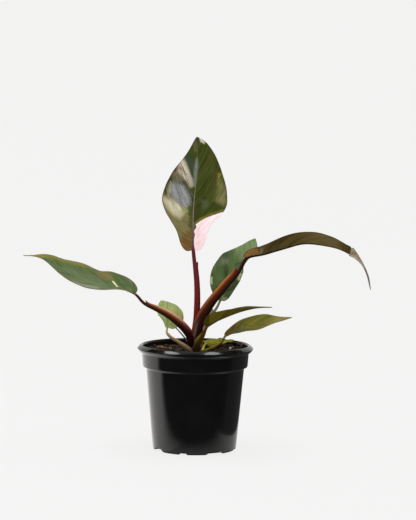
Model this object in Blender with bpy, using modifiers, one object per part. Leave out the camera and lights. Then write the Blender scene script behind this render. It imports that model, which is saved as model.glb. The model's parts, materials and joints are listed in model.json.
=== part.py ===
"""Pink princess philodendron, rooted in the soil of a round black grower's pot.

The origin is at the centre of the pot's flat underside, with +Z up. The tables below are in
millimetres; x is to the right, y is away from the front and z is up.
"""

import math
import random

import bmesh
import bpy
import numpy as np
from mathutils import Euler, Matrix, Vector

MM = 0.001
FIT_GAP = 0.3

# The pot
POT_STEPS = 52
POT_WALL = 1.3
POT_FLOOR = 2.0
LIP_TOP = 108.0
LIP_RADIUS = 60.0
LIP_BOTTOM = 101.2
LIP_THICKNESS = 1.7
BAND_RADIUS = 55.4
STEP_TOP = 86.4
STEP_BOTTOM = 83.6
FOOT_RADIUS = 43.2
NOTCH_FIRST_ANGLE = -60.0
NOTCH_DEPTH = 10.0
WIDE_NOTCH = (16.0, 3.4)
NARROW_NOTCH = (7.0, 2.4)

# The soil and the stem
SOIL_STEPS = 48
SOIL_LEVEL = 100.0
SOIL_DIP = 2.5
SOIL_DIP_REACH = 18.0
SOIL_CRUMB = 0.9
SOIL_SEED = 11
CHIP_COUNT = 30
CHIP_NEAREST = 19.0
CHIP_FURTHEST = 49.0
CHIP_LENGTH = (3.0, 6.5)
CHIP_WIDTH = (1.6, 3.0)
CHIP_HEIGHT = 3.6
CHIP_TILT = 14.0
STEM_STEPS = 24
STEM_RADIUS = 6.5
STEM_TOP = 110.0
STEM_FOOT = 80.0

# The leaves
BLADE_THICKNESS = 0.8
SECTION_POINTS = 16
WING_THICKNESS = 0.9
SINUS_HALF_WIDTH = 2.6
LOBE_REACH = 0.06

# A stalk is a path with its radius at the foot and at the blade. Its sheath is a pair of wings that
# stand on the side it faces, from the foot to the share `end` of its length. `height` is a table of
# (share, millimetres), and the wings end in a free point `tip` millimetres long.
# A blade hangs on its midrib. `widths` gives the half-widths left and right of the midrib at shares
# of its length, `facing` is where the upper side looks, and `lift` is how many degrees the two
# halves rise from flat. `lobes` is how far the base reaches back past the stalk.
LEAVES = {
    "upright": dict(
        stalk=[(-0.4, 1.8, 106.5), (-0.9, 1.0, 122), (0.3, 0.4, 134.7), (0.8, 0, 148), (0.8, 0, 161),
               (0.2, 0, 174.5), (-1.1, 0, 188)],
        radius=(2.8, 1.7),
        sheath=dict(facing=(1, -0.5, 0), end=0.86, tip=2.5,
                    height=[(0, 2.8), (0.2, 3.6), (0.6, 3.4), (1, 2.8)]),
        midrib=[(-3, 0, 205.5), (-3, 0, 226.5), (-2.3, 2, 252), (-1, 5.5, 278), (0, 10, 300),
                (-0.6, 16, 322)],
        facing=[(0, (0, -1, 0)), (1, (0, -1, 0.3))],
        widths=[(0, 1.5, 1.5), (0.015, 8, 7.5), (0.06, 12.5, 12), (0.17, 17.5, 15.5), (0.26, 24.5, 21),
                (0.33, 30, 30), (0.43, 34, 34), (0.53, 31.5, 33), (0.66, 25.5, 28), (0.8, 15, 20.5),
                (0.9, 7.5, 13.5), (0.96, 3.5, 8), (1, 0.5, 0.8)],
        lift=[(0, 14, 18), (0.5, 8, 10), (1, 4, 6)],
        lobes=2.0, cells=(20, 8),
    ),
    "right": dict(
        stalk=[(2.0, -4.8, 105.5), (2.6, -7.6, 115.5), (4.7, -8.7, 128.3), (7.3, -9.2, 135),
               (14.8, -10.2, 149), (29.3, -12.5, 168.3), (42.4, -15, 184.1)],
        radius=(3.0, 1.9),
        sheath=dict(facing=(-0.8, -0.2, 0.6), end=0.84, tip=3.0,
                    height=[(0, 3), (0.1, 4), (0.2, 7.4), (0.35, 7.4), (0.6, 6.4), (0.85, 5.8), (1, 4.6)]),
        midrib=[(51.9, -18, 199.6), (70, -20, 204.5), (90, -22, 210.5), (109, -24, 215.5),
                (130, -26, 214.5), (148, -27, 209), (160, -28.5, 201.5), (170, -30, 190), (175, -30, 180),
                (178, -30, 169.5)],
        facing=[(0, (0, -0.05, 1)), (0.66, (0.3, 0, 1)), (0.76, (0.5, -0.9, 0.4)), (1, (0.5, -1, 0.2))],
        widths=[(0, 1.5, 1.5), (0.015, 9, 9), (0.06, 15, 15), (0.15, 22, 20), (0.3, 28, 26), (0.45, 27, 27),
                (0.58, 20, 20), (0.68, 13, 12), (0.76, 6.5, 6), (0.86, 2.5, 2), (1, 0.5, 0.5)],
        lift=[(0, 20, 34), (0.3, 14, 30), (0.5, 14, 30), (0.66, 20, 32), (0.76, 20, 20), (1, 10, 10)],
        lobes=3.6, cells=(22, 8),
    ),
    "left": dict(
        stalk=[(-4.8, -2.4, 106.5), (-5.4, -3.8, 113.5), (-10.1, -5.5, 121.6), (-18.3, -7.5, 130.3),
               (-30.3, -10.3, 139.7), (-39.8, -13, 145.7), (-53.5, -16, 154)],
        radius=(2.7, 1.4),
        sheath=dict(facing=(0.5, -0.1, 0.85), end=0.82, tip=3.0,
                    height=[(0, 2.7), (0.2, 5.6), (0.5, 5.6), (0.8, 4.2), (1, 2.4)]),
        midrib=[(-61.6, -18, 161.3), (-72, -19.5, 166.5), (-92, -22, 171), (-113, -24, 177.5),
                (-136, -26, 188), (-156, -28, 199.5), (-175, -28, 200.5)],
        facing=[(0, (0, -0.25, 1)), (0.5, (0, -0.32, 1)), (1, (0, -0.3, 1))],
        widths=[(0, 1.5, 1.5), (0.015, 9, 9), (0.06, 16, 15.5), (0.15, 22, 21), (0.3, 27, 26), (0.45, 26, 26),
                (0.6, 20, 21), (0.74, 12, 13), (0.84, 5, 6), (0.92, 1.8, 2.2), (1, 0.5, 0.5)],
        lift=[(0, 20, 24), (0.2, 14, 18), (0.33, 9, 6), (0.45, 4, 9), (1, 2, 6)],
        lobes=2.0, cells=(20, 8),
    ),
    "back": dict(
        stalk=[(4.6, 4.4, 105.5), (6.4, 6.4, 113), (8.8, 8.2, 121.5), (11.8, 10, 130.4), (17, 13, 138.2),
               (22, 16.5, 145)],
        radius=(2.3, 1.2),
        sheath=dict(facing=(-0.8, -0.3, 0.5), end=0.72, tip=2.5,
                    height=[(0, 2.4), (0.25, 3.8), (1, 2.2)]),
        midrib=[(25.2, 20.2, 151.8), (29, 22, 165), (34, 25, 179.5), (42, 29, 193.5), (53, 35, 205.5),
                (61.9, 42, 215.5)],
        facing=[(0, (-0.1, -1, 0.1)), (1, (-0.1, -1, 0.5))],
        widths=[(0, 1.3, 1.3), (0.02, 6, 6), (0.08, 10, 10), (0.2, 15, 12.5), (0.38, 18.5, 13.5),
                (0.56, 15.5, 12), (0.74, 9.5, 10), (0.88, 4.5, 6.5), (1, 0.6, 0.6)],
        lift=[(0, 16, 16), (1, 8, 8)],
        lobes=1.5, cells=(14, 8),
    ),
    "upper_low": dict(
        stalk=[(0.2, -5.8, 100.6), (1.4, -11, 104), (4.4, -16.5, 110.5), (8.4, -20.5, 120)],
        radius=(2.2, 1.4),
        sheath=dict(facing=(-0.6, -0.1, 0.6), end=0.84, tip=2.0,
                    height=[(0, 2.2), (0.3, 4), (0.55, 5.2), (1, 2)]),
        midrib=[(11.9, -23, 129.1), (20, -24, 135), (32, -25, 140.5), (47, -26, 146), (63, -27.5, 149.6),
                (78, -28.5, 150.4)],
        facing=[(0, (-0.1, -0.05, 1)), (1, (0, -0.1, 1))],
        widths=[(0, 1.3, 1.3), (0.03, 5, 8), (0.1, 8, 13.5), (0.24, 13, 17), (0.42, 14, 15.5),
                (0.6, 10.5, 10.5), (0.78, 5, 5), (0.9, 2.2, 2.2), (1, 0.5, 0.5)],
        lift=[(0, 20, 40), (0.1, 20, 44), (0.3, 14, 34), (1, 8, 12)],
        lobes=1.8, cells=(14, 6),
    ),
    "lower_low": dict(
        stalk=[(5.0, -1.0, 100.8), (8.8, -3.2, 101.8), (16.3, -6, 105.3), (24, -7.6, 109.4),
               (28, -8.8, 113.2)],
        radius=(1.3, 1.1),
        sheath=None,
        midrib=[(30.2, -10.1, 117.5), (36, -11, 122.5), (46, -12.3, 127.5), (61, -14, 131.2),
                (78, -16.5, 135.5), (98.7, -18, 139)],
        facing=[(0, (0, -0.4, 1)), (0.5, (0, -0.42, 1)), (1, (0, -0.3, 1))],
        widths=[(0, 1.2, 1.2), (0.03, 4, 4), (0.12, 7.5, 7.5), (0.3, 12.5, 14), (0.48, 16, 15.5),
                (0.62, 14, 13.5), (0.78, 8, 7.5), (0.9, 3.2, 3), (1, 0.5, 0.5)],
        lift=[(0, 10, 10), (1, 3, 3)],
        lobes=1.0, cells=(14, 6),
    ),
    "pale": dict(
        stalk=[(-4.2, -4.6, 100.2), (-7.4, -8.4, 104), (-12.4, -9.4, 107.8), (-18.8, -8.4, 111.8),
               (-26.2, -4.6, 116.2), (-29.4, -1, 119.4)],
        radius=(1.9, 0.9),
        sheath=dict(facing=(0.2, -0.5, 0.8), end=0.74, tip=2.0,
                    height=[(0, 2), (0.2, 2.8), (1, 1.8)]),
        midrib=[(-29.3, 4.1, 124.6), (-25, 6, 132.4), (-25.8, 10, 141), (-32, 14.5, 147.7),
                (-40.6, 18, 150.2)],
        facing=[(0, (-0.1, 1, 0.6)), (1, (-0.4, 1, 0.8))],
        widths=[(0, 1.2, 1.2), (0.04, 4.5, 4.5), (0.14, 8.5, 8.5), (0.36, 12, 12.5), (0.58, 9.5, 10.5),
                (0.78, 5, 6.5), (0.92, 2.2, 2.6), (1, 0.6, 0.6)],
        lift=[(0, 12, 12), (1, 6, 6)],
        lobes=1.0, cells=(10, 6),
    ),
    "lime": dict(
        stalk=[(4.0, 4.4, 100.6), (6.6, 8.6, 101.6), (8.6, 12.2, 103.4), (9.8, 14.6, 105.4)],
        radius=(1.3, 1.0),
        sheath=None,
        midrib=[(10.9, 16.6, 106.8), (18, 19.5, 107.8), (29, 24, 108.6), (40.5, 28, 108.8)],
        facing=[(0, (0.1, -0.18, 1)), (1, (0, -0.18, 1))],
        widths=[(0, 1.2, 1.2), (0.04, 6, 6), (0.16, 10, 10), (0.4, 12, 11.5), (0.66, 8.5, 8),
                (0.86, 3.6, 3.4), (1, 0.6, 0.6)],
        lift=[(0, 4, 4), (1, 3, 3)],
        lobes=1.0, cells=(10, 6),
    ),
}

DRY_STALK = [(-3.6, 3.8, 105.5), (-7.7, 6, 109.7), (-11.9, 8, 114.7), (-20.3, 12, 123.5), (-27, 15, 130)]
DRY_STALK_RADIUS = 0.75

# Colour, roughness and metallic value of each material
MATERIALS = {
    "black_plastic": ((0.012, 0.012, 0.013), 0.32, 0.0),
    "potting_mix": ((0.035, 0.024, 0.016), 0.95, 0.0),
    "stem_skin": ((0.070, 0.035, 0.022), 0.55, 0.0),
    "crimson_stalk": ((0.160, 0.012, 0.020), 0.40, 0.0),
    "red_brown_stalk": ((0.170, 0.045, 0.020), 0.42, 0.0),
    "striped_stalk": ((0.420, 0.230, 0.190), 0.45, 0.0),
    "green_stalk": ((0.150, 0.140, 0.050), 0.45, 0.0),
    "dry_sheath": ((0.110, 0.065, 0.040), 0.80, 0.0),
    "dark_green_blade": ((0.040, 0.070, 0.022), 0.30, 0.0),
    "bronze_blade": ((0.085, 0.065, 0.020), 0.35, 0.0),
    "green_blade": ((0.075, 0.150, 0.055), 0.34, 0.0),
    "olive_blade": ((0.140, 0.150, 0.035), 0.36, 0.0),
    "pale_blade": ((0.300, 0.400, 0.160), 0.45, 0.0),
    "lime_blade": ((0.360, 0.420, 0.030), 0.45, 0.0),
}
STALK_MATERIAL = {
    "upright": "crimson_stalk", "right": "red_brown_stalk", "left": "red_brown_stalk",
    "back": "striped_stalk", "upper_low": "green_stalk", "lower_low": "green_stalk",
    "pale": "dry_sheath", "lime": "green_stalk",
}
BLADE_MATERIAL = {
    "upright": "dark_green_blade", "right": "bronze_blade", "left": "green_blade", "back": "green_blade",
    "upper_low": "olive_blade", "lower_low": "olive_blade", "pale": "pale_blade", "lime": "lime_blade",
}


def curve_through(knots, values, at, steady=False):
    """Values of a smooth cubic curve through the given values. A steady one never overshoots them."""
    knots = np.asarray(knots, float)
    values = np.asarray(values, float).reshape(len(knots), -1)
    at = np.clip(np.atleast_1d(np.asarray(at, float)), knots[0], knots[-1])
    steps = np.diff(knots)[:, None]
    secants = np.diff(values, axis=0) / steps
    slopes = np.vstack([secants[:1], (secants[:-1] * steps[1:] + secants[1:] * steps[:-1])
                        / (steps[1:] + steps[:-1]), secants[-1:]])
    if steady:
        before, after = secants[:-1], secants[1:]
        same_way = before * after > 0
        slopes[1:-1] = np.where(same_way, 2 * before * after / np.where(same_way, before + after, 1), 0)
    cell = np.clip(np.searchsorted(knots, at, side="right") - 1, 0, len(knots) - 2)
    width = steps[cell]
    t = (at - knots[cell])[:, None] / width
    return ((2 * t**3 - 3 * t**2 + 1) * values[cell] + (t**3 - 2 * t**2 + t) * width * slopes[cell]
            + (3 * t**2 - 2 * t**3) * values[cell + 1] + (t**3 - t**2) * width * slopes[cell + 1])


def profile_at(table, at):
    """The row of a table [(share, value, value...)] at each share."""
    return curve_through([row[0] for row in table], [np.hstack(row[1:]) for row in table], at, steady=True)


def unit(vectors):
    return vectors / np.linalg.norm(vectors, axis=-1, keepdims=True)


class Path:
    """A smooth path through points, read by the share of its length."""

    SAMPLES = 400

    def __init__(self, points):
        points = np.asarray(points, float)
        chords = np.hstack([0, np.cumsum(np.linalg.norm(np.diff(points, axis=0), axis=1))])
        self.line = curve_through(chords, points, np.linspace(0, chords[-1], self.SAMPLES))
        run = np.hstack([0, np.cumsum(np.linalg.norm(np.diff(self.line, axis=0), axis=1))])
        self.length = run[-1]
        self.share = run / self.length
        self.heading = unit(np.gradient(self.line, run, axis=0))

    def _read(self, rows, at):
        return np.stack([np.interp(at, self.share, column) for column in rows.T], axis=-1)

    def point(self, at):
        return self._read(self.line, at)

    def tangent(self, at):
        return unit(self._read(self.heading, at))


def frame_along(path, at, facing):
    """Tangent, the side that looks along `facing`, and the right-hand side, at each share."""
    tangent = path.tangent(at)
    normal = unit(facing - (facing * tangent).sum(-1, keepdims=True) * tangent)
    return tangent, normal, np.cross(tangent, normal)


def leaf_spine(leaf):
    """The line of a leaf from the foot of its stalk to its tip, and the share where the blade starts."""
    spine = Path(leaf["stalk"] + leaf["midrib"])
    start = np.argmin(np.linalg.norm(spine.line - np.array(leaf["midrib"][0]), axis=1))
    return spine, spine.share[start]


def blade_points(leaf, share, across):
    """Places on the blade: share 0 to 1 along the midrib, across -1 (left) to 1 (right)."""
    spine, start = leaf_spine(leaf)
    along = start + (1 - start) * share
    tangent, normal, right = frame_along(spine, along, profile_at(leaf["facing"], share))
    side = (across > 0).astype(int)
    pick = np.arange(len(share))
    width = profile_at(leaf["widths"], share)[pick, side]
    lift = np.radians(profile_at(leaf["lift"], share)[pick, side])
    reach = np.abs(across) * width
    sideways = np.sign(across) * reach * np.cos(lift)
    rise = reach * np.sin(lift)
    clear_of_stalk = 1 - np.exp(-np.maximum(reach - SINUS_HALF_WIDTH, 0) / SINUS_HALF_WIDTH)
    back = leaf["lobes"] * clear_of_stalk * np.exp(-share / LOBE_REACH)
    return (spine.point(along) + sideways[:, None] * right + rise[:, None] * normal
            - back[:, None] * tangent)


def section(radius, wing):
    """Outline of a stalk's section: a circle, or a trough whose two wings stand `wing` tall."""
    angles = math.pi + np.arange(SECTION_POINTS) * math.tau / SECTION_POINTS
    circle = np.stack([np.cos(angles), np.sin(angles)], axis=-1) * radius
    if not wing:
        return circle
    trough = circle.copy()
    wing_side = radius * 0.62
    inner_side = wing_side - WING_THICKNESS
    top = max(wing, radius)
    trough[9] = (radius * 0.98, radius * 0.45)
    trough[10] = (wing_side, top)
    trough[11] = (inner_side, top)
    trough[12] = (0, radius * 0.25)
    trough[13] = (-inner_side, top)
    trough[14] = (-wing_side, top)
    trough[15] = (-radius * 0.98, radius * 0.45)
    return trough


def stalk_rings(leaf):
    """The rings of points that a stalk is lofted through, from its foot to the blade."""
    spine, blade_start = leaf_spine(leaf)
    head_share = blade_start - FIT_GAP / spine.length
    foot, head = leaf["radius"]
    sheath = leaf["sheath"]
    facing = np.array(sheath["facing"] if sheath else (0, 0, 1), float)
    stations = [(share, 0) for share in np.linspace(0, 1, 9)]
    if sheath:
        end = sheath["end"]
        sheathed = end * np.linspace(0, 1, 9)
        stations = list(zip(sheathed, profile_at(sheath["height"], sheathed / end)[:, 0]))
        stations += [(end + 0.02, 0), ((end + 1.02) / 2, 0), (1, 0)]
    rings = []
    for share, wing in stations:
        at = np.array([share * head_share])
        tangent, normal, right = frame_along(spine, at, facing[None, :])
        outline = section(foot + (head - foot) * share, wing)
        ring = spine.point(at) + outline[:, :1] * right + outline[:, 1:] * normal
        if sheath and share == end:
            ring[[10, 11, 13, 14]] += sheath["tip"] * tangent + 0.3 * sheath["tip"] * normal
        rings.append(ring)
    return rings


def make_material(name):
    colour, roughness, metallic = MATERIALS[name]
    material = bpy.data.materials.new(name)
    material.use_nodes = True
    shader = material.node_tree.nodes["Principled BSDF"]
    shader.inputs["Base Color"].default_value = (*colour, 1.0)
    shader.inputs["Roughness"].default_value = roughness
    shader.inputs["Metallic"].default_value = metallic
    material.diffuse_color = (*colour, 1.0)
    return material


def add_object(name, mesh, collection, material=None):
    obj = bpy.data.objects.new(name, mesh)
    collection.objects.link(obj)
    if material:
        mesh.materials.append(make_material(material))
        mesh.shade_smooth()
    return obj


def as_cutter(obj):
    obj.hide_render = True
    obj.display_type = "WIRE"
    return obj


def combine(obj, label, operation, other):
    modifier = obj.modifiers.new(label, "BOOLEAN")
    modifier.operation = operation
    modifier.object = other


def mesh_from(bm, name):
    bmesh.ops.recalc_face_normals(bm, faces=bm.faces)
    mesh = bpy.data.meshes.new(name)
    bm.to_mesh(mesh)
    bm.free()
    return mesh


def turned(name, profile, steps, collection, material=None):
    """A profile of (radius, height) points, turned about Z. It runs down the outer side."""
    mesh = bpy.data.meshes.new(name)
    corners = [(radius * MM, 0, height * MM) for radius, height in profile]
    mesh.from_pydata(corners, [(i, i + 1) for i in range(len(corners) - 1)], [])
    obj = add_object(name, mesh, collection, material)
    screw = obj.modifiers.new("Turn", "SCREW")
    screw.steps = screw.render_steps = steps
    screw.use_merge_vertices = True
    screw.merge_threshold = 0.00001
    screw.use_smooth_shade = True
    return obj


def baked(obj):
    """The object's mesh with its modifiers applied; the object itself is removed."""
    bpy.context.view_layer.update()
    mesh = bpy.data.meshes.new_from_object(obj.evaluated_get(bpy.context.evaluated_depsgraph_get()))
    bpy.data.objects.remove(obj)
    return mesh


def pot_side():
    """Outer side of the pot below the lip, from the band down to the foot."""
    return [(BAND_RADIUS, LIP_BOTTOM - 0.6), (54.3, STEP_TOP + 1.6), (54.0, STEP_TOP), (51.4, STEP_BOTTOM),
            (50.1, 77.0), (44.9, 17.6), (FOOT_RADIUS + 0.1, 1.4)]


def pot_profile():
    """Half section of the pot, from the inside of its floor over the lip to its underside."""
    side = pot_side()
    inner = [(radius - POT_WALL, height) for radius, height in side]
    inner[-1] = (inner[-1][0], POT_FLOOR)
    skirt = LIP_RADIUS - LIP_THICKNESS
    lip = [(BAND_RADIUS - POT_WALL, LIP_TOP - 1.6), (BAND_RADIUS - 0.4, LIP_TOP - 0.3),
           (BAND_RADIUS + 1.0, LIP_TOP), (skirt, LIP_TOP - 0.5), (LIP_RADIUS - 0.4, LIP_TOP - 1.8),
           (LIP_RADIUS, LIP_TOP - 3.6), (LIP_RADIUS, LIP_BOTTOM + 0.8), (LIP_RADIUS - 0.6, LIP_BOTTOM),
           (skirt, LIP_BOTTOM + 0.4), (skirt - 0.2, LIP_TOP - 3.0), (BAND_RADIUS + 0.6, LIP_TOP - 3.0)]
    return [(0, POT_FLOOR), *reversed(inner), *lip, *side, (FOOT_RADIUS - 0.6, 0), (0, 0)]


def make_notches(cutters):
    """Boxes that cut wide and narrow notches by turns round the foot of the pot."""
    bm = bmesh.new()
    for index in range(8):
        width, height = (WIDE_NOTCH, NARROW_NOTCH)[index % 2]
        turn = Matrix.Rotation(math.radians(NOTCH_FIRST_ANGLE + 45 * index - 90), 4, "Z")
        middle = Vector((FOOT_RADIUS - 0.3 * NOTCH_DEPTH, 0, height / 2 - 1)) * MM
        size = Matrix.Diagonal((NOTCH_DEPTH * MM, width * MM, (height + 2) * MM, 1))
        bmesh.ops.create_cube(bm, size=1.0, matrix=turn @ Matrix.Translation(middle) @ size)
    return as_cutter(add_object("pot_notch_cutter", mesh_from(bm, "pot_notch_cutter"), cutters))


def make_pot(collection, cutters):
    pot = turned("pot", pot_profile(), POT_STEPS, collection, "black_plastic")
    combine(pot, "Drainage notches", "DIFFERENCE", make_notches(cutters))


def soil_height(radius, angle, draw):
    """Height of the crumbly soil surface: a dip round the stem, low swells and crumbs."""
    dip = SOIL_DIP * math.exp(-(radius / SOIL_DIP_REACH) ** 2)
    swell = 0.5 * math.sin(2 * angle + 0.6) + 0.4 * math.sin(3 * angle + radius / 9)
    return SOIL_LEVEL - dip + swell * min(1.0, radius / 40) + draw.uniform(-SOIL_CRUMB, SOIL_CRUMB)


def soil_chips():
    """Bits of bark and twig bedded in the soil: x, y, length, width, turn and tilt, spread in a spiral."""
    draw = random.Random(SOIL_SEED)
    chips = []
    for index in range(CHIP_COUNT):
        spread = (index + 0.5) / CHIP_COUNT
        radius = math.sqrt(CHIP_NEAREST**2 + (CHIP_FURTHEST**2 - CHIP_NEAREST**2) * spread)
        angle = index * math.pi * (3 - math.sqrt(5)) + draw.uniform(-0.05, 0.05)
        chips.append((radius * math.cos(angle), radius * math.sin(angle), draw.uniform(*CHIP_LENGTH),
                      draw.uniform(*CHIP_WIDTH), draw.uniform(0, math.pi), draw.uniform(-1, 1) * CHIP_TILT))
    return chips


def make_chips(cutters):
    """One mesh of all the chips, to be joined to the soil."""
    bm = bmesh.new()
    for x, y, length, width, turn, tilt in soil_chips():
        place = Matrix.Translation(Vector((x, y, SOIL_LEVEL)) * MM)
        lie = Euler((math.radians(tilt), math.radians(tilt / 2), turn)).to_matrix().to_4x4()
        size = Matrix.Diagonal((length * MM, width * MM, CHIP_HEIGHT * MM, 1))
        bmesh.ops.create_cube(bm, size=1.0, matrix=place @ lie @ size)
    return as_cutter(add_object("soil_chips_shape", mesh_from(bm, "soil_chips_shape"), cutters))


def make_soil(collection, cutters):
    wall = [(radius - POT_WALL - FIT_GAP, height) for radius, height in pot_side()][1:]
    wall[-1] = (wall[-1][0], POT_FLOOR + FIT_GAP)
    hole = STEM_RADIUS + FIT_GAP
    top_radii = np.linspace(hole, BAND_RADIUS - POT_WALL - FIT_GAP - 0.2, 10)
    top = [(radius, SOIL_LEVEL) for radius in top_radii]
    profile = [(0, STEM_FOOT - FIT_GAP), (hole, STEM_FOOT - FIT_GAP), *top, *wall, (0, POT_FLOOR + FIT_GAP)]
    mesh = baked(turned("soil_blank", profile, SOIL_STEPS, collection))
    draw = random.Random(SOIL_SEED)
    for vert in mesh.vertices:
        if abs(vert.co.z - SOIL_LEVEL * MM) < 1e-6:
            radius = math.hypot(vert.co.x, vert.co.y) / MM
            vert.co.z = soil_height(radius, math.atan2(vert.co.y, vert.co.x), draw) * MM
    soil = add_object("soil", mesh, collection, "potting_mix")
    combine(soil, "Chips", "UNION", make_chips(cutters))


def stem_profile(grow):
    """Profile of the stem, grown outward by a small amount."""
    radius = STEM_RADIUS + grow
    top = STEM_TOP + grow
    return [(0, top), (radius * 0.5, top - 0.5), (radius * 0.85, top - 2.2), (radius, top - 5.5),
            (radius, STEM_FOOT - grow), (0, STEM_FOOT - grow)]


def make_blade(kind, leaf, collection):
    along, across = leaf["cells"]
    bm = bmesh.new()
    bmesh.ops.create_grid(bm, x_segments=along, y_segments=across, size=1.0)
    grid = np.array([vert.co for vert in bm.verts])
    share = (1 - np.cos((grid[:, 0] + 1) / 2 * math.pi)) / 2
    for vert, place in zip(bm.verts, blade_points(leaf, share, grid[:, 1])):
        vert.co = place * MM
    bmesh.ops.triangulate(bm, faces=bm.faces)
    mesh = bpy.data.meshes.new(f"{kind}_blade")
    bm.to_mesh(mesh)
    bm.free()
    blade = add_object(f"{kind}_blade", mesh, collection, BLADE_MATERIAL[kind])
    shell = blade.modifiers.new("Thickness", "SOLIDIFY")
    shell.thickness = BLADE_THICKNESS * MM
    shell.offset = 0


def make_stalk(kind, leaf, collection, stem_cutter):
    bm = bmesh.new()
    rings = [[bm.verts.new(place * MM) for place in ring] for ring in stalk_rings(leaf)]
    for low, high in zip(rings, rings[1:]):
        for i in range(SECTION_POINTS):
            j = (i + 1) % SECTION_POINTS
            bm.faces.new((low[i], low[j], high[j], high[i]))
    bm.faces.new(reversed(rings[0]))
    bm.faces.new(rings[-1])
    bmesh.ops.triangulate(bm, faces=bm.faces)
    mesh = mesh_from(bm, f"{kind}_petiole")
    stalk = add_object(f"{kind}_petiole", mesh, collection, STALK_MATERIAL[kind])
    combine(stalk, "Seat on the stem", "DIFFERENCE", stem_cutter)


def make_dry_stalk(collection, stem_cutter):
    curve = bpy.data.curves.new("dry_stalk", "CURVE")
    curve.dimensions = "3D"
    curve.bevel_depth = DRY_STALK_RADIUS * MM
    curve.bevel_resolution = 2
    curve.use_fill_caps = True
    places = Path(DRY_STALK).point(np.linspace(0, 1, 8))
    spline = curve.splines.new("POLY")
    spline.points.add(len(places) - 1)
    for point, place in zip(spline.points, places):
        point.co = (*(place * MM), 1)
    wire = add_object("dry_stalk_wire", curve, collection)
    mesh = baked(wire)
    bm = bmesh.new()
    bm.from_mesh(mesh)
    bmesh.ops.remove_doubles(bm, verts=bm.verts, dist=0.00001)
    stalk = add_object("dry_stalk", mesh_from(bm, "dry_stalk"), collection, "green_stalk")
    combine(stalk, "Seat on the stem", "DIFFERENCE", stem_cutter)


def new_collection(name):
    collection = bpy.data.collections.new(name)
    bpy.context.scene.collection.children.link(collection)
    return collection


def main():
    for obj in list(bpy.data.objects):
        bpy.data.objects.remove(obj)
    parts = new_collection("pink_princess_philodendron")
    cutters = new_collection("cutters")
    make_pot(parts, cutters)
    make_soil(parts, cutters)
    turned("stem", stem_profile(0), STEM_STEPS, parts, "stem_skin")
    stem_cutter = as_cutter(turned("stem_seat_cutter", stem_profile(FIT_GAP), STEM_STEPS, cutters))
    for kind, leaf in LEAVES.items():
        make_stalk(kind, leaf, parts, stem_cutter)
        make_blade(kind, leaf, parts)
    make_dry_stalk(parts, stem_cutter)


main()
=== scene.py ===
"""Pink princess philodendron in a round black grower's pot: fine surfaces, light and camera.

The tables are in millimetres, from the centre of the pot's underside: x is to the right, y is away
from the front and z is up.
"""

import json
import math
import random

import bmesh
import bpy
import numpy as np
from mathutils import Euler, Matrix, Vector, noise


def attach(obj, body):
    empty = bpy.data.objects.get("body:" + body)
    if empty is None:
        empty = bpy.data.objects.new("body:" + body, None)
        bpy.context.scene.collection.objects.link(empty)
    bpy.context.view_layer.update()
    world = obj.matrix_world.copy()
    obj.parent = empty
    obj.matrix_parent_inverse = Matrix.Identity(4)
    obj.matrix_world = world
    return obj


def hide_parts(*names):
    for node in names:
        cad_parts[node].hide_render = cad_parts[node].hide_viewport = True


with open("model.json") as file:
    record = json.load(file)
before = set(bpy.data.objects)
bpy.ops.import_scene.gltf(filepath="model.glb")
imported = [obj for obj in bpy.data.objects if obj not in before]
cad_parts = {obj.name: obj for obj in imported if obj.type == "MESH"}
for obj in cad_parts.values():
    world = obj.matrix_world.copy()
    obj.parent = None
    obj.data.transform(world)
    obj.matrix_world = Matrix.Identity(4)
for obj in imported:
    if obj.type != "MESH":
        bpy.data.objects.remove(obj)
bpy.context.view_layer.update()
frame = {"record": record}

MM = 0.001

# The camera: a long lens a little above the leaves, looking slightly down
CAMERA_PLACE = (0.0122, -1.8, 0.340)
CAMERA_PITCH = 4.58
CAMERA_ROLL = 0.6
CAMERA_LENS = 121.31

# The pot
POT_STEPS = 192
POT_WALL = 1.3
POT_FLOOR = 2.0
LIP_TOP = 108.0
LIP_RADIUS = 60.0
LIP_BOTTOM = 101.2
LIP_THICKNESS = 1.7
BAND_RADIUS = 55.4
STEP_TOP = 86.4
STEP_BOTTOM = 83.6
FOOT_RADIUS = 43.2
NOTCH_FIRST_ANGLE = -60.0
NOTCH_DEPTH = 10.0
WIDE_NOTCH = (16.0, 3.6)
NARROW_NOTCH = (7.0, 2.4)
# Half the arch of a notch, in shares of its width and its height
NOTCH_ARCH = [(0.68, 0), (0.61, 0.07), (0.55, 0.22), (0.5, 0.42), (0.45, 0.63), (0.39, 0.81), (0.3, 0.94),
              (0.15, 1), (0, 1)]

# The soil and the stem
SOIL_LEVEL = 102.0
SOIL_DIP = 2.5
SOIL_DIP_REACH = 18.0
SOIL_STEPS = 320
CRUMB_SEED = 12
CRUMB_COUNT = 900
CHIP_COUNT = 80
STEM_RADIUS = 6.5
STEM_TOP = 110.0
STEM_FOOT = 80.0
AXIS_RADIUS = 0.05

# The leaves
SINUS_HALF_WIDTH = 2.6
LOBE_REACH = 0.06
BLADE_THICKNESS = 0.5
MARGIN_THICKNESS = 0.3
VEIN_SPACING = 5.2
SECTION_CORNERS = 16
SECTION_STEPS = 4
WING_THICKNESS = 0.8

# The set: paper for its floor and wall, and the lit table that only the gloss shows
PAPER_COLOUR = (0.955, 0.95, 0.945)
FLOOR_GLOW = 0.853
WALL_GLOW = 0.943
WALL_STEPS = 48
TABLE_COLOUR = (1.0, 0.985, 0.96)
TABLE_LEVELS = (1.3, 0.78, 0.08)
TABLE_EDGES = ((-0.034, -0.026), (0.084, 0.096))
TABLE_FADE = (-0.082, -0.022)
CARD_COLOUR = (1.0, 0.99, 0.97)

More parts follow.
